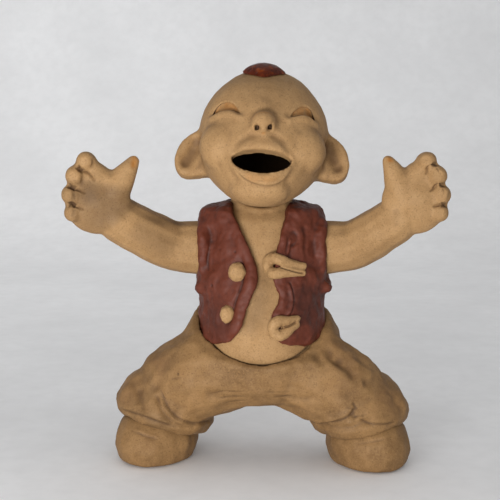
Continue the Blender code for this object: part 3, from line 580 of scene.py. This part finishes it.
@dataclass
class ClayFinish:
    """Fired clay without glaze: sandy and mottled, with painted shade in its creases and where its stain is
    negative.
    """

    slot: str
    base: Colour
    pale: Colour
    dark: Colour
    shaded_crease: Colour
    stain: Colour
    shade: Colour
    roughness: float = 0.74
    sand: float = 0.55
    smears: float = 0.35
    gleam: float = 0.30
    made: bpy.types.Material | None = field(default=None, repr=False)

    def material(self) -> bpy.types.Material:
        """The finish as one material, which all the lumps of this clay share.

        Returns:
            The material.
        """
        if self.made:
            return self.made
        recipe = Recipe(self.slot + "_fired")
        coords = recipe.add("TexCoord").outputs["Object"]
        patches = recipe.spots(coords, 0.007, 0.35, 0.70)
        stain = recipe.add("Attribute", {"attribute_name": "stain"}).outputs["Fac"]
        hollow = recipe.add("Attribute", {"attribute_name": "hollow"}).outputs["Fac"]
        # Where the stain attribute is negative, it is painted shade.
        shade = recipe.add("MapRange", Value=stain, From_Min=0.0, From_Max=-1.0)
        colour = self.base  # then smears, patches, pale grains, dark grains, stain, shade and creases
        for share, tint in (
            (recipe.product(recipe.spots(coords, 0.030, 0.38, 0.72), self.smears), self.dark),
            (recipe.product(patches, 0.30), self.pale),
            (recipe.product(recipe.spots(coords, 0.0011, 0.50, 0.62), self.sand * 0.5), self.pale),
            (recipe.product(recipe.spots(coords, 0.0009, 0.56, 0.66), self.sand), self.dark),
            (recipe.product(stain, recipe.spots(coords, 0.0035, 0.30, 0.55), clamp=True), self.stain),
            (shade.outputs["Result"], self.shade),
            # painted shade in creases and hollows, by the hollow attribute
            (recipe.product(hollow, 0.75), self.shaded_crease),
        ):
            colour = recipe.mix(share, colour, tint)
        rough = recipe.add("MapRange", Value=patches)
        recipe.plug(rough.inputs["To Min"], self.roughness + 0.06)
        recipe.plug(rough.inputs["To Max"], self.roughness - 0.08)
        fine = recipe.add("TexNoise", Vector=coords, Scale=1500.0, Detail=4.0, Roughness=0.7)
        wide = recipe.add("TexNoise", Vector=coords, Scale=210.0, Detail=2.0, Roughness=0.5)
        grit = recipe.add("Bump", Height=fine.outputs["Fac"], Strength=0.42, Distance=0.00022)
        skin = recipe.add("Bump", Height=wide.outputs["Fac"], Strength=0.30, Distance=0.0008)
        recipe.plug(skin.inputs["Normal"], grit.outputs["Normal"])
        recipe.surface(Base_Color=colour, Roughness=rough.outputs["Result"], Normal=skin.outputs["Normal"])
        recipe.surface(Specular_IOR_Level=self.gleam)
        self.made = recipe.made
        return self.made


@dataclass
class GlazeFinish:
    """A glossy iron-red glaze, thin and orange in patches and dark where it has pooled."""

    slot: str = "glazed_red"
    base: Colour = (0.078, 0.010, 0.001)
    thin: Colour = (0.205, 0.040, 0.002)
    pooled: Colour = (0.045, 0.006, 0.001)

    def material(self) -> bpy.types.Material:
        """The glaze as a material.

        Returns:
            The material.
        """
        recipe = Recipe("iron_red_glaze")
        coords = recipe.add("TexCoord").outputs["Object"]
        pools = recipe.spots(coords, 0.006, 0.42, 0.62)
        thin = recipe.spots(coords, 0.0035, 0.52, 0.68)
        colour = recipe.mix(pools, self.base, self.pooled)
        colour = recipe.mix(recipe.product(thin, 0.6), colour, self.thin)
        rough = recipe.add("MapRange", Value=pools, To_Min=0.42, To_Max=0.26)
        ripple = recipe.add("TexNoise", Vector=coords, Scale=420.0, Detail=2.0)
        bump = recipe.add("Bump", Height=ripple.outputs["Fac"], Strength=0.35, Distance=0.0004)
        recipe.surface(Base_Color=colour, Roughness=rough.outputs["Result"], Normal=bump.outputs["Normal"])
        recipe.surface(Specular_IOR_Level=0.13)
        return recipe.made


BUFF = ClayFinish(
    "buff_clay",
    base=(0.284, 0.162, 0.066),
    pale=(0.380, 0.231, 0.104),
    dark=(0.132, 0.069, 0.025),
    shaded_crease=(0.080, 0.036, 0.013),
    stain=(0.300, 0.118, 0.020),
    shade=(0.026, 0.010, 0.003),
)
RED = ClayFinish(
    "red_clay",
    base=(0.087, 0.0175, 0.0070),
    pale=(0.140, 0.0360, 0.0190),
    dark=(0.046, 0.0095, 0.0045),
    shaded_crease=(0.020, 0.005, 0.003),
    stain=(0.190, 0.070, 0.035),
    shade=(0.012, 0.003, 0.002),
    roughness=0.58,
    sand=0.30,
    gleam=0.25,
)
BROWN = ClayFinish(
    "brown_clay",
    base=(0.206, 0.111, 0.040),
    pale=(0.292, 0.166, 0.067),
    dark=(0.084, 0.041, 0.013),
    shaded_crease=(0.055, 0.026, 0.010),
    stain=(0.120, 0.058, 0.022),
    shade=(0.020, 0.010, 0.004),
    smears=0.75,
)
GLAZE = GlazeFinish()


@dataclass
class Lump:
    """What all the pieces share: the viewpoint of their strokes, and their clay's grain in millimetres."""

    view: Viewpoint
    grain: float = 1.0

    def knead(self, node: str, rounds: int, slack: float = 0.03, suffix: str = "clay") -> Clay:
        """Kneads the clay of one piece.

        Args:
            node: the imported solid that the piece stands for.
            rounds: how often its skin is rubbed.
            slack: how much stronger the way back is than the rub.
            suffix: the end of the piece's name.

        Returns:
            The lump of clay, ready for its strokes.
        """
        clay = Clay(f"{node}_{suffix}", node, self.grain, self.view)
        clay.knead(rounds, slack)
        return clay


@dataclass
class Head(Lump):
    """The hollow laughing head, with its ears, shut eyes, bulb nose and open mouth."""

    def build(self) -> None:
        """Models the head and its face."""
        clay = self.knead("head", 24)
        clay.dent(0.30, 12.0, 3.1)
        clay.refine((208, 96, 246, 124), (285, 99, 320, 128), (246, 106, 282, 140), (226, 146, 297, 190))
        clay.refine((209, 98, 244, 120), (287, 102, 318, 124), (252, 120, 276, 134))
        clay.work((*self.left_eye(), *self.right_eye(), *self.nose(), *self.mouth(), *self.ears()))
        self.paint_shade_inside(clay)
        clay.leave(BUFF)

    @staticmethod
    def paint_shade_inside(clay: Clay) -> None:
        """Paints shade on the inner skin of the hollow head, where little light reaches."""
        half_size, slack, inner_shade = (0.0355, 0.042, 0.044), -0.2 * MM, -0.85
        middle = (clay.points.min(0) + clay.points.max(0)) / 2
        inward = np.einsum("ij,ij->i", clay.normals, clay.points - middle) < slack
        inner = np.linalg.norm((clay.points - middle) / half_size, axis=1) < 1.0
        clay.stains_and_shade[inward & inner] = inner_shade

    @staticmethod
    def left_eye() -> tuple[Stroke | Scoop, ...]:
        """The eye on the left of the picture: a scooped lid over a bulging lower lid, with painted shade in
        the scoop and along the slit.
        """
        lid = (
            (212.2, 115.4), (215.7, 109.5), (220.8, 104.2), (226.9, 102), (232, 103.2), (236.3, 107),
            (240.8, 113.2),
        )
        slit = (
            (212.2, 115.6), (216.5, 113), (221.7, 110.6), (227.7, 109.6), (232.9, 110.2), (240.8, 113.6),
        )
        brow = ((211, 114), (215, 107.5), (220.4, 102.4), (227, 100.2), (233, 101.6), (239, 108))
        under = ((214, 117.5), (220, 115.2), (227, 114.4), (234, 115), (239, 116))
        return (
            Stroke(under, 5.4, -0.55, fade=0.35),
            Scoop(lid, slit, 0.9, 3.0, 0.6),
            Stroke(slit, 1.4, 0.8, Profile.CUT, 0.3, -0.8),
            Stroke(brow, 2.2, -0.2),
        )

    @staticmethod
    def right_eye() -> tuple[Stroke | Scoop, ...]:
        """The eye on the right of the picture, with painted shade in its scoop and along its slit."""
        lid = (
            (290, 116.6), (293.1, 112.3), (297.5, 108.5), (301.8, 106.6), (306.9, 107.4), (311.2, 111.4),
            (314.6, 120.2),
        )
        slit = ((290, 116.8), (294.9, 116), (300, 114.8), (304.3, 114.6), (308.6, 116.2), (315, 121.2))
        brow = ((289.5, 114.5), (293, 110.4), (297.3, 106.6), (302, 104.8), (307.4, 105.6), (313, 111))
        under = ((293, 119.8), (299, 119), (305, 119.2), (311, 122))
        return (
            Stroke(under, 5.4, -0.55, fade=0.35),
            Scoop(lid, slit, 0.9, 3.2, 0.6),
            Stroke(slit[:-1], 1.4, 0.8, Profile.CUT, 0.3, -0.8),
            Stroke(brow, 2.2, -0.2),
        )

    @staticmethod
    def nose() -> tuple[Stroke, ...]:
        """The soft valley round the nose, the rims of the nostrils, painted shade in the nostrils and the
        bow over the upper lip.
        """
        valley = (
            (250.8, 127), (250, 119), (254, 112), (263.9, 108.8), (274, 112), (278.6, 119), (278.4, 126.5),
        )
        bow = (
            (230.5, 152), (236, 145), (243.2, 138.4), (251.4, 134.4), (262, 134.2), (272.5, 134.4),
            (281.5, 138.2),
        )
        return (
            Stroke(valley, 5.5, 0.5, fade=0.25),
            Stroke((*bow, (288, 144), (292.3, 151.5)), 5.5, 0.42, fade=0.3),
            Stroke(((253.8, 128.5), (255.2, 131.8), (258.2, 132)), 1.8, -0.35),
            Stroke(((266.8, 131.6), (270, 131.6), (272.4, 128.5)), 1.8, -0.35),
            Stroke(((257, 125.4), (257, 130)), 3.3, 2.4, fade=0.1, stain=-1.6),
            Stroke(((269.8, 124.6), (269.8, 129.6)), 3.0, 2.4, fade=0.1, stain=-1.6),
            stain_and_shade_wash(((263.6, 133.8),), 3.5, 0.7),
            stain_and_shade_wash(((252, 121), (256, 114.5), (264, 112), (272, 114.5), (276.5, 121)), 5.0, 0.35),
        )

    @staticmethod
    def mouth() -> tuple[Stroke, ...]:
        """The rims of both lips, the line under the lower one and a nick in it."""
        under = (
            (236, 168.5), (240.2, 174.4), (246.1, 179), (254.1, 182.8), (263.8, 185), (272.9, 184.4),
            (279.8, 181.8),
        )
        rim = (
            (235.5, 163.5), (242, 168.6), (250, 172), (259.5, 173.6), (270.2, 173.4), (279, 171.8),
            (288, 167.6),
        )
        return (
            Stroke((*under, (285.2, 177.2), (288.8, 173.4)), 5.6, 1.0, Profile.FOLD, 0.2),
            stain_and_shade_wash(((243, 173.5), (252, 177.5), (263, 179.2), (273, 178.6), (281, 175.6)), 6.5, 0.35),
            Stroke(rim, 2.0, -0.35),
            # The nick in the lower lip, with painted shade in it.
            Stroke(((255.8, 180.2), (260, 181.2), (265.4, 181.4)), 1.0, 0.4, Profile.CUT, 0.4, -0.2),
            Stroke(((299, 146), (300.5, 158), (297, 171), (289, 181)), 12.0, -0.7, fade=0.4),
            Stroke(((226, 146), (225, 158), (229, 170), (237, 181)), 11.0, -0.7, fade=0.35),
            # Painted shade over the forehead.
            stain_and_shade_wash(((240, 95), (262, 84), (290, 96)), 60.0, -0.16, 0.4),
            Stroke(((256.2, 178.6), (262, 179.4)), 0.8, 0.25, Profile.CUT, 0.4),
        )

    @staticmethod
    def ears() -> tuple[Stroke, ...]:
        """The bowl of each ear and the valley between ear and cheek."""
        return (
            Stroke(((195, 147), (192, 156), (186, 164)), 11.0, 0.3),
            Stroke(((199.5, 141), (199.5, 149), (201.2, 157), (203, 164), (206.2, 170)), 5.0, 0.5),
            # Painted shade in the bowl of the ear on the right of the picture.
            Stroke(((329.5, 149), (332, 158), (336, 166)), 11.0, 0.25, stain=-0.25),
            Stroke(((326.4, 143.5), (326.4, 153.7), (324.5, 163.6), (322.1, 170.5)), 5.0, 0.5),
        )


@dataclass
class Tuft(Lump):
    """The diamond of glazed clay that is the hair."""

    grain: float = 0.35

    def build(self) -> None:
        """Models the tuft."""
        clay = self.knead("hair_tuft", 6, suffix="glazed")
        clay.dent(0.22, 5.0, 7.7)
        clay.work((Stroke(((254.8, 64.8), (255.6, 69), (256.4, 73.4)), 3.5, 0.5),))
        clay.leave(GLAZE)


@dataclass
class Torso(Lump):
    """Neck, chest and belly."""

    grain: float = 0.95
    waist: tuple[Pixel, ...] = (
        (212.7, 343.5), (218.3, 349.6), (226.3, 356.3), (236.6, 361.4), (248, 364.4), (260.7, 365.3),
        (273.3, 364.4), (284.7, 361.4), (296.2, 356), (305.3, 348.7), (309.8, 344.6),
    )

    def build(self) -> None:
        """Models the torso and its navel."""
        clay = self.knead("torso", 100, 0.006)
        clay.dent(0.3, 14.0, 5.3)
        clay.work(
            (
                Stroke(((259.6, 360.3),), 5.0, 0.5),
                Stroke(((259.6, 360.1),), 2.6, -0.9),
                # Painted shade on the belly by the vest's rim, and a thin line of it along the waist.
                stain_and_shade_wash(((264, 262), (262, 290), (254, 318), (245, 338)), 18.0, -0.3),
                Stroke(self.waist, 2.6, 0.2, fade=0.05, stain=-0.9),
            )
        )
        clay.leave(BUFF)


@dataclass
class Hands(Lump):
    """Both arms with their open hands, each finger curled towards the viewer."""

    grain: float = 0.70

    def build(self) -> None:
        """Models both arms."""
        for node, strokes, fingers in (
            ("right_arm", self.right_strokes(), (58, 150, 100, 224)),
            ("left_arm", self.left_strokes(), (412, 150, 458, 228)),
        ):
            clay = self.knead(node, 110, 0.006)
            clay.dent(0.35, 9.0, 9.9)
            clay.refine(fingers)
            clay.work(strokes)
            clay.leave(BUFF)

    @staticmethod
    def right_strokes() -> tuple[Stroke, ...]:
        """The hand on the left of the picture: its finger lines, its tips and its thumb nail."""
        return (
            *shaded_crease(((76.6, 165.5), (80.1, 169.5), (84.7, 171.8), (88.7, 173.5), (95.6, 181.6)), 3.6, 2.4),
            *shaded_crease(((66.3, 184.5), (70.9, 186.7), (76.1, 189), (80.1, 190.5), (85.8, 194.2)), 3.6, 2.4),
            *shaded_crease(((67.5, 205.1), (71.5, 203.9), (76.1, 206.2), (80.1, 208), (84.1, 210.8)), 3.6, 2.2),
            *tips((83.5, 161.5, 10.5, 0.45), (73.5, 177.0, 10.5, 0.45)),
            *tips((67.8, 195.3, 9.5, 0.45), (68.5, 212.0, 9.0, 0.4)),
            # Painted shade beside each fingertip and in the cut by the top one.
            Stroke(((92, 158), (93.4, 163), (91, 168.5)), 4.2, 0.5, fade=0.4, stain=-0.2),
            Stroke(((81.8, 173), (82.8, 179.8), (80.3, 186.7)), 4.2, 0.6, fade=0.4, stain=-0.25),
            Stroke(((73, 189), (74.3, 194.8), (72.6, 202)), 4.2, 0.6, fade=0.4, stain=-0.25),
            Stroke(((73.4, 207.5), (74, 212), (72, 218)), 4.0, 0.5, fade=0.4, stain=-0.2),
            Stroke(((84.5, 158), (86.5, 162), (84, 165)), 1.5, 0.4, Profile.CUT, 0.3, -0.1),
            Stroke(((73.5, 172), (71.5, 176)), 1.5, 0.4, Profile.CUT, 0.3),
            Stroke(((134.6, 158.6), (133.6, 166)), 6.0, 0.4, Profile.FACET, 0.0, 0.95),
            stain_and_shade_wash(((104, 181), (103, 193), (107, 206), (113, 219), (118, 226)), 72.0, -0.5),
            # Painted shade by the fingers, under the forearm and along the top of the arm.
            stain_and_shade_wash(((92, 168), (90, 181), (88, 194), (90, 206)), 18.0, -0.22),
            stain_and_shade_wash(((132, 224), (152, 240), (176, 252)), 26.0, -0.32),
            stain_and_shade_wash(((142, 213), (160, 221), (190, 225)), 11.0, -0.4),
        )

    @staticmethod
    def left_strokes() -> tuple[Stroke, ...]:
        """The hand on the right of the picture: its finger lines, its tips and its thumb nail."""
        upper = ((442, 165), (437.7, 163.8), (432.3, 165), (427.4, 168), (426.8, 172.3), (425, 175.3))
        middle = (
            (450.2, 187.4), (445.6, 185.3), (439.5, 184.4), (435.9, 185.6), (432.9, 189.2), (429.2, 191.7),
        )
        lower = ((450.2, 207.4), (445.6, 205), (440.8, 204.7), (436.5, 205.6), (432.3, 207.4))
        return (
            *shaded_crease(upper, 3.4, 2.2),
            *shaded_crease(middle, 3.6, 2.4),
            *shaded_crease(lower, 3.6, 2.4),
            *tips((425.6, 158.6, 7.5, 0.7), (438.4, 174.5, 10.5, 0.8)),
            *tips((441.5, 195.0, 9.0, 0.8), (440.5, 213.5, 9.0, 0.6)),
            # Painted shade in the cuts between the tips and beside them.
            Stroke(((436.4, 167), (438.4, 170.5), (438.6, 174)), 1.5, 0.5, Profile.CUT, 0.3, -0.3),
            Stroke(((442.6, 187.5), (443.6, 190.5), (442.4, 194)), 1.6, 0.6, Profile.CUT, 0.3, -0.3),
            Stroke(((450, 170), (449, 177), (449.5, 184)), 4.2, 0.5, fade=0.4, stain=-0.2),
            Stroke(((450.5, 190), (449.5, 196), (450, 203)), 4.2, 0.5, fade=0.4, stain=-0.2),
            Stroke(((390.8, 154.5), (390.3, 160)), 6.0, 0.4, Profile.FACET, 0.0, 0.9),
            Stroke(((397, 208), (396, 220), (397, 228)), 7.0, 0.4, stain=-0.1),
        )


@dataclass
class Vest(Lump):
    """The red clay vest: a slab that is open at the front, pinched along its rims."""

    grain: float = 0.72

    def build(self) -> None:
        """Models the vest."""
        clay = self.knead("vest", 12)
        clay.dent(1.2, 7.5, 2.4)
        clay.dent(0.45, 3.0, 8.1)
        clay.work((*self.right_panel(), *self.left_panel()))
        clay.leave(RED)

    @staticmethod
    def right_panel() -> tuple[Stroke, ...]:
        """The rim on the left of the picture with its pinched ribs, and the creases of its panel."""
        rim = (
            (234, 222), (240.5, 240), (247, 257), (251.5, 272), (249.5, 286), (244, 299), (240.5, 312),
            (235.5, 326), (226, 335),
        )
        strokes = [Stroke(rim, 10.0, -1.5, fade=0.15)]
        line = smooth_line(np.array(rim[3:-1]), 4.3)
        for start, end in zip(line, line[1:]):
            way = (end - start) / np.linalg.norm(end - start)
            out = np.array((-way[1], way[0]))
            ends = tuple(tuple(start + out * side) for side in (-4.6, 4.6))
            strokes.append(Stroke(ends, 2.3, 1.0, fade=0.35))
        return (
            *strokes,
            Stroke(((243, 255), (243.5, 272), (241, 288), (236, 301), (232, 314), (226, 325)), 3.2, 0.9),
            Stroke(((209.6, 243), (209.6, 247.1), (207.6, 260.4), (208.5, 272)), 2.4, 0.8, Profile.CUT),
            Stroke(((210.6, 285.9), (212.5, 284.8)), 2.6, 1.0, Profile.CUT, 0.2),
            Stroke(((234, 251), (236, 252.5)), 2.2, 0.7, fade=0.2),
            # Painted shade low on the panel.
            stain_and_shade_wash(((208, 306), (220, 326), (232, 336)), 32.0, -0.35),
        )

    @staticmethod
    def left_panel() -> tuple[Stroke, ...]:
        """The rolled lapel on the right of the picture and the creases of its panel."""
        lapel = ((289, 281.6), (292.1, 291), (293.2, 300.5), (292.1, 309), (289, 316.5))
        return (
            Stroke(((291.5, 230), (296.3, 235.3), (296, 242), (291, 247)), 4.2, 1.0, Profile.CUT),
            Stroke(((289.5, 238), (288, 247), (286.8, 255.3)), 5.0, 1.0, Profile.FOLD, 0.2),
            Stroke(((316.5, 324), (312, 336), (305, 344)), 3.0, -0.5),
            Stroke(lapel, 6.0, -1.2, Profile.LEDGE, 0.15),
            Stroke(lapel, 1.8, 1.2, Profile.CUT, 0.12),
            Stroke(((300, 222), (306, 236), (305, 250), (310, 262)), 5.0, 0.7),
            # Painted shade low on the panel.
            stain_and_shade_wash(((304, 284), (306, 304), (311, 326)), 34.0, -0.45, 0.2),
        )


@dataclass
class Fasteners(Lump):
    """Two knobs and two loops of buff clay."""

    grain: float = 0.38

    def build(self) -> None:
        """Models knobs and loops."""
        for node in ("upper_knob", "lower_knob"):
            clay = self.knead(node, 5)
            clay.dent(0.5, 4.0, 1.0 if node == "upper_knob" else 6.0)
            clay.leave(BUFF)
        slit = ((279, 266.6), (285, 268.5), (296, 271.4), (305, 273.4))
        # The slits and the hole of the loops get painted shade.
        strokes = {
            "upper_loop": (Stroke(slit, 1.8, 1.4, Profile.CUT, 0.1, -0.3),),
            "lower_loop": (
                Stroke(((281.6, 327.7),), 2.4, 1.4, stain=-0.5),
                Stroke(((283.5, 327.3), (290, 325.6), (297, 321.8)), 1.8, 1.3, Profile.CUT, 0.1, -0.25),
            ),
        }
        for node, marks in strokes.items():
            clay = self.knead(node, 5)
            clay.dent(0.3, 4.0, 4.4)
            clay.work(marks)
            clay.leave(BUFF)


@dataclass
class Trousers(Lump):
    """The baggy trousers, their folds and their turned hems."""

    grain: float = 0.80

    def build(self) -> None:
        """Models the trousers."""
        clay = self.knead("trousers", 60, 0.012)
        clay.dent(1.1, 15.0, 4.2)
        clay.dent(0.30, 5.0, 1.7)
        clay.work((*self.right_leg(), *self.left_leg()))
        clay.leave(BROWN)

    @staticmethod
    def right_leg() -> tuple[Stroke, ...]:
        """The folds of the leg on the left of the picture."""
        thigh = (
            (159, 388), (161, 394), (166, 406.5), (175.6, 417.5), (186.8, 423), (201.7, 423.5), (215, 420),
        )
        turn_up = ((118, 408), (131, 411.6), (141, 414.5), (151.5, 418.5), (164, 423), (178, 426))
        return (
            # Painted shade on the knee and over the turned hem; below, thin lines of painted shade in the
            # folds, the creases and the small hole.
            stain_and_shade_wash(((126, 368), (138, 386), (150, 402)), 32.0, -0.3),
            stain_and_shade_wash(((130, 418), (150, 426), (172, 426)), 20.0, -0.35),
            Stroke(((124, 392),), 17.0, -1.6),
            Stroke(((149, 360),), 17.0, -1.3),
            Stroke(((135.5, 376), (141, 381), (140, 394), (136.6, 405)), 9.0, 1.3),
            Stroke(((166, 356), (164, 368), (158, 382), (158.5, 392)), 11.0, 1.2, stain=0.2),
            Stroke(thigh, 12.0, -1.5, Profile.FOLD, 0.25),
            Stroke(thigh, 2.6, 0.5, stain=-0.12),
            Stroke(turn_up, 9.0, 1.1, Profile.FOLD, 0.25),
            Stroke(turn_up, 3.6, 0.6, stain=-0.2),
            Stroke(((194, 427),), 16.0, -1.4),
            Stroke(((177.8, 374.3),), 2.0, 1.2, Profile.CUT, 0.0, -0.5),
            Stroke(((170.3, 380), (175, 378.6), (182.5, 378)), 2.6, 0.5, fade=0.4, stain=-0.12),
            Stroke(((209, 393.7), (223, 391.5), (238, 391.8), (250, 391)), 2.0, 0.4, fade=0.4, stain=-0.12),
            Stroke(((216, 398.6), (231.5, 396.6), (250, 396.8)), 2.0, 0.4, fade=0.4, stain=-0.12),
            Stroke(((222, 404), (236, 401), (249, 400.6)), 2.0, 0.35, fade=0.4, stain=-0.1),
            stain_and_shade_wash(((142, 376), (130, 394), (127, 408)), 30.0, 0.6),
            stain_and_shade_wash(((165, 352), (152, 370)), 30.0, 0.45),
            stain_and_shade_wash(((136, 420), (150, 428), (170, 434)), 12.0, 0.45),
        )

    @staticmethod
    def left_leg() -> tuple[Stroke, ...]:
        """The folds of the leg on the right of the picture."""
        thigh = (
            (303, 419.5), (313, 421.8), (323.3, 422), (334, 421), (343.8, 417.5), (350.5, 413),
            (354.6, 406),
        )
        turn_up = ((358.2, 417.5), (370, 422.5), (384.9, 423.6), (397, 420.5))
        return (
            Stroke(((366, 361),), 15.0, -1.3),
            Stroke(((401, 399),), 17.0, -1.5),
            Stroke(((380, 375.5), (371, 381), (362, 383)), 9.0, 1.5),
            Stroke(((350.5, 353), (342, 359), (336, 366)), 8.0, 1.2),
            Stroke(((321.3, 346.7), (334, 354), (347, 362), (355, 372)), 11.0, 1.2),
            Stroke(((312, 350), (320, 360), (330, 372)), 9.0, 0.8),
            Stroke(thigh, 11.0, 1.4, Profile.FOLD, 0.25),
            # Thin lines of painted shade in the folds and creases.
            Stroke(thigh, 2.6, 0.5, stain=-0.15),
            Stroke(turn_up, 9.0, 0.9, Profile.FOLD, 0.3),
            Stroke(turn_up, 3.4, 0.5, stain=-0.15),
            Stroke(((352.6, 402), (355, 406.5), (357, 410)), 2.2, 0.8, Profile.CUT, 0.3, -0.3),
            Stroke(((345, 407.5), (351, 408.5), (356, 410.5)), 2.0, 0.6, Profile.CUT, 0.3, -0.15),
            Stroke(((352, 417.5), (359, 416), (366, 414.5)), 2.4, 0.5, stain=-0.12),
            Stroke(((273, 397.6), (283, 396.4), (293, 395.6)), 2.2, 0.5, fade=0.4, stain=-0.2),
            Stroke(((262, 391.5), (276, 392.5), (290, 391.6)), 2.0, 0.4, fade=0.4, stain=-0.1),
            Stroke(((262, 403), (275, 404.4), (288, 404)), 2.0, 0.35, fade=0.4, stain=-0.1),
            stain_and_shade_wash(((345, 383),), 26.0, 0.3),
            stain_and_shade_wash(((376, 386), (394, 402), (404, 412)), 30.0, 0.55),
            stain_and_shade_wash(((322, 335), (350, 362), (366, 372)), 28.0, 0.4),
        )


@dataclass
class Shoes(Lump):
    """The two round shoes."""

    grain: float = 0.85

    def build(self) -> None:
        """Models both shoes."""
        for node in ("right_shoe", "left_shoe"):
            clay = self.knead(node, 100, 0.006)
            clay.dent(0.5, 14.0, 2.2)
            clay.work(self.strokes()[node])
            clay.leave(BROWN)

    @staticmethod
    def strokes() -> dict[str, tuple[Stroke, ...]]:
        """The creases of each shoe under its hem, and the shoulder of clay on the inner side of one."""
        under_hem = ((129.2, 429.2), (142.2, 433.9), (151, 436.8), (160, 439))
        return {
            "right_shoe": (
                Stroke(((186, 441),), 16.0, -1.2),
                Stroke(under_hem, 6.0, 0.9, Profile.FOLD, 0.3),
                # A thin line of painted shade under the hem.
                Stroke(under_hem, 2.2, 0.4, stain=-0.15),
                stain_and_shade_wash(((140, 436), (160, 444)), 16.0, 0.3),
            ),
            "left_shoe": (
                Stroke(((334, 444),), 16.0, -1.2),
                Stroke(((356.2, 443.5), (376.7, 440), (393, 435.6)), 6.0, 0.7, Profile.FOLD, 0.3),
                stain_and_shade_wash(((402, 432),), 14.0, 0.4),
            ),
        }


@dataclass
class Studio:
    """A plain pale sweep of paper, and soft light from the camera's side."""

    view: Viewpoint
    paper: Colour = (0.89, 0.892, 0.90)
    daylight: float = 0.58

    def build(self) -> None:
        """Sets up paper, lamps, world and camera."""
        self.lay_paper()
        front = self.view.target
        self.lamp("key_window", (-0.42, -1.0, 0.14), front, (0.5, 0.5), 4.4)
        self.lamp("low_window", (-0.15, -0.60, 0.05), front, (0.40, 0.09), 3.3)
        self.lamp("backdrop_window", (-0.45, 0.40, 0.80), (-0.55, 1.25, 0.42), (0.7, 0.7), 1.3)
        world = bpy.data.worlds.new("pale_room")
        world.use_nodes = True
        back = world.node_tree.nodes["Background"]
        back.inputs["Color"].default_value = (1.0, 1.0, 1.0, 1.0)
        back.inputs["Strength"].default_value = self.daylight
        bpy.context.scene.world = world
        bpy.context.scene.view_settings.view_transform = "Standard"
        self.view.set_up()

    def lay_paper(self) -> None:
        """Lays a sheet that runs under the figure and curves up behind it."""
        width, front, bend, radius, top = 4.4, -1.6, 0.75, 0.5, 2.2
        turns = np.linspace(0, math.pi / 2, 17)
        curve = [(bend + radius * math.sin(turn), radius - radius * math.cos(turn)) for turn in turns]
        line = np.array([(front, 0.0), *curve, (bend + radius, top)])
        run = np.concatenate(([0.0], np.cumsum(np.linalg.norm(np.diff(line, axis=0), axis=1))))
        bpy.ops.mesh.primitive_grid_add(x_subdivisions=2, y_subdivisions=70, size=1.0)
        paper = bpy.context.object
        paper.name = "paper_sweep"
        for corner in paper.data.vertices:
            at = (corner.co.y + 0.5) * run[-1]
            back, up = (np.interp(at, run, column) for column in line.T)
            corner.co = (width * corner.co.x, back, up)
        bpy.ops.object.shade_smooth()
        recipe = Recipe("plain_paper")
        coords = recipe.add("TexCoord").outputs["Object"]
        clouds = recipe.product(recipe.spots(coords, 0.11, 0.38, 0.68), 0.5)
        fibres = recipe.product(recipe.spots(coords, 0.012, 0.40, 0.75), 0.35)
        wear = 0.86
        worn = tuple(wear * part for part in self.paper)
        colour = recipe.mix(fibres, recipe.mix(clouds, self.paper, worn), worn)
        recipe.surface(Base_Color=colour, Roughness=0.9, Specular_IOR_Level=0.1)
        paper.data.materials.append(recipe.made)

    @staticmethod
    def lamp(name: str, place: Place, aim: Place, size: tuple[float, float], power: float) -> None:
        """Adds a soft lamp that the camera doesn't see.

        Args:
            name: the lamp's name.
            place: where it stands.
            aim: the place that it shines at.
            size: its width and height in metres.
            power: its power in watts.
        """
        turn = (Vector(aim) - Vector(place)).to_track_quat("-Z", "Y").to_euler()
        bpy.ops.object.light_add(type="AREA", location=place, rotation=turn)
        lamp = bpy.context.object
        lamp.name = name
        lamp.visible_camera = False
        lamp.data.shape = "RECTANGLE"
        lamp.data.size, lamp.data.size_y = size
        lamp.data.energy = power


def main() -> None:
    """Builds every piece in order."""
    logging.basicConfig(level=logging.INFO, format="%(name)s %(message)s")
    view = Viewpoint()
    for piece in (
        Studio(view),
        Head(view),
        Tuft(view),
        Torso(view),
        Hands(view),
        Vest(view),
        Fasteners(view),
        Trousers(view),
        Shoes(view),
    ):
        piece.build()
        LOG.info("%s done", type(piece).__name__)


if __name__ == "__main__":
    main()
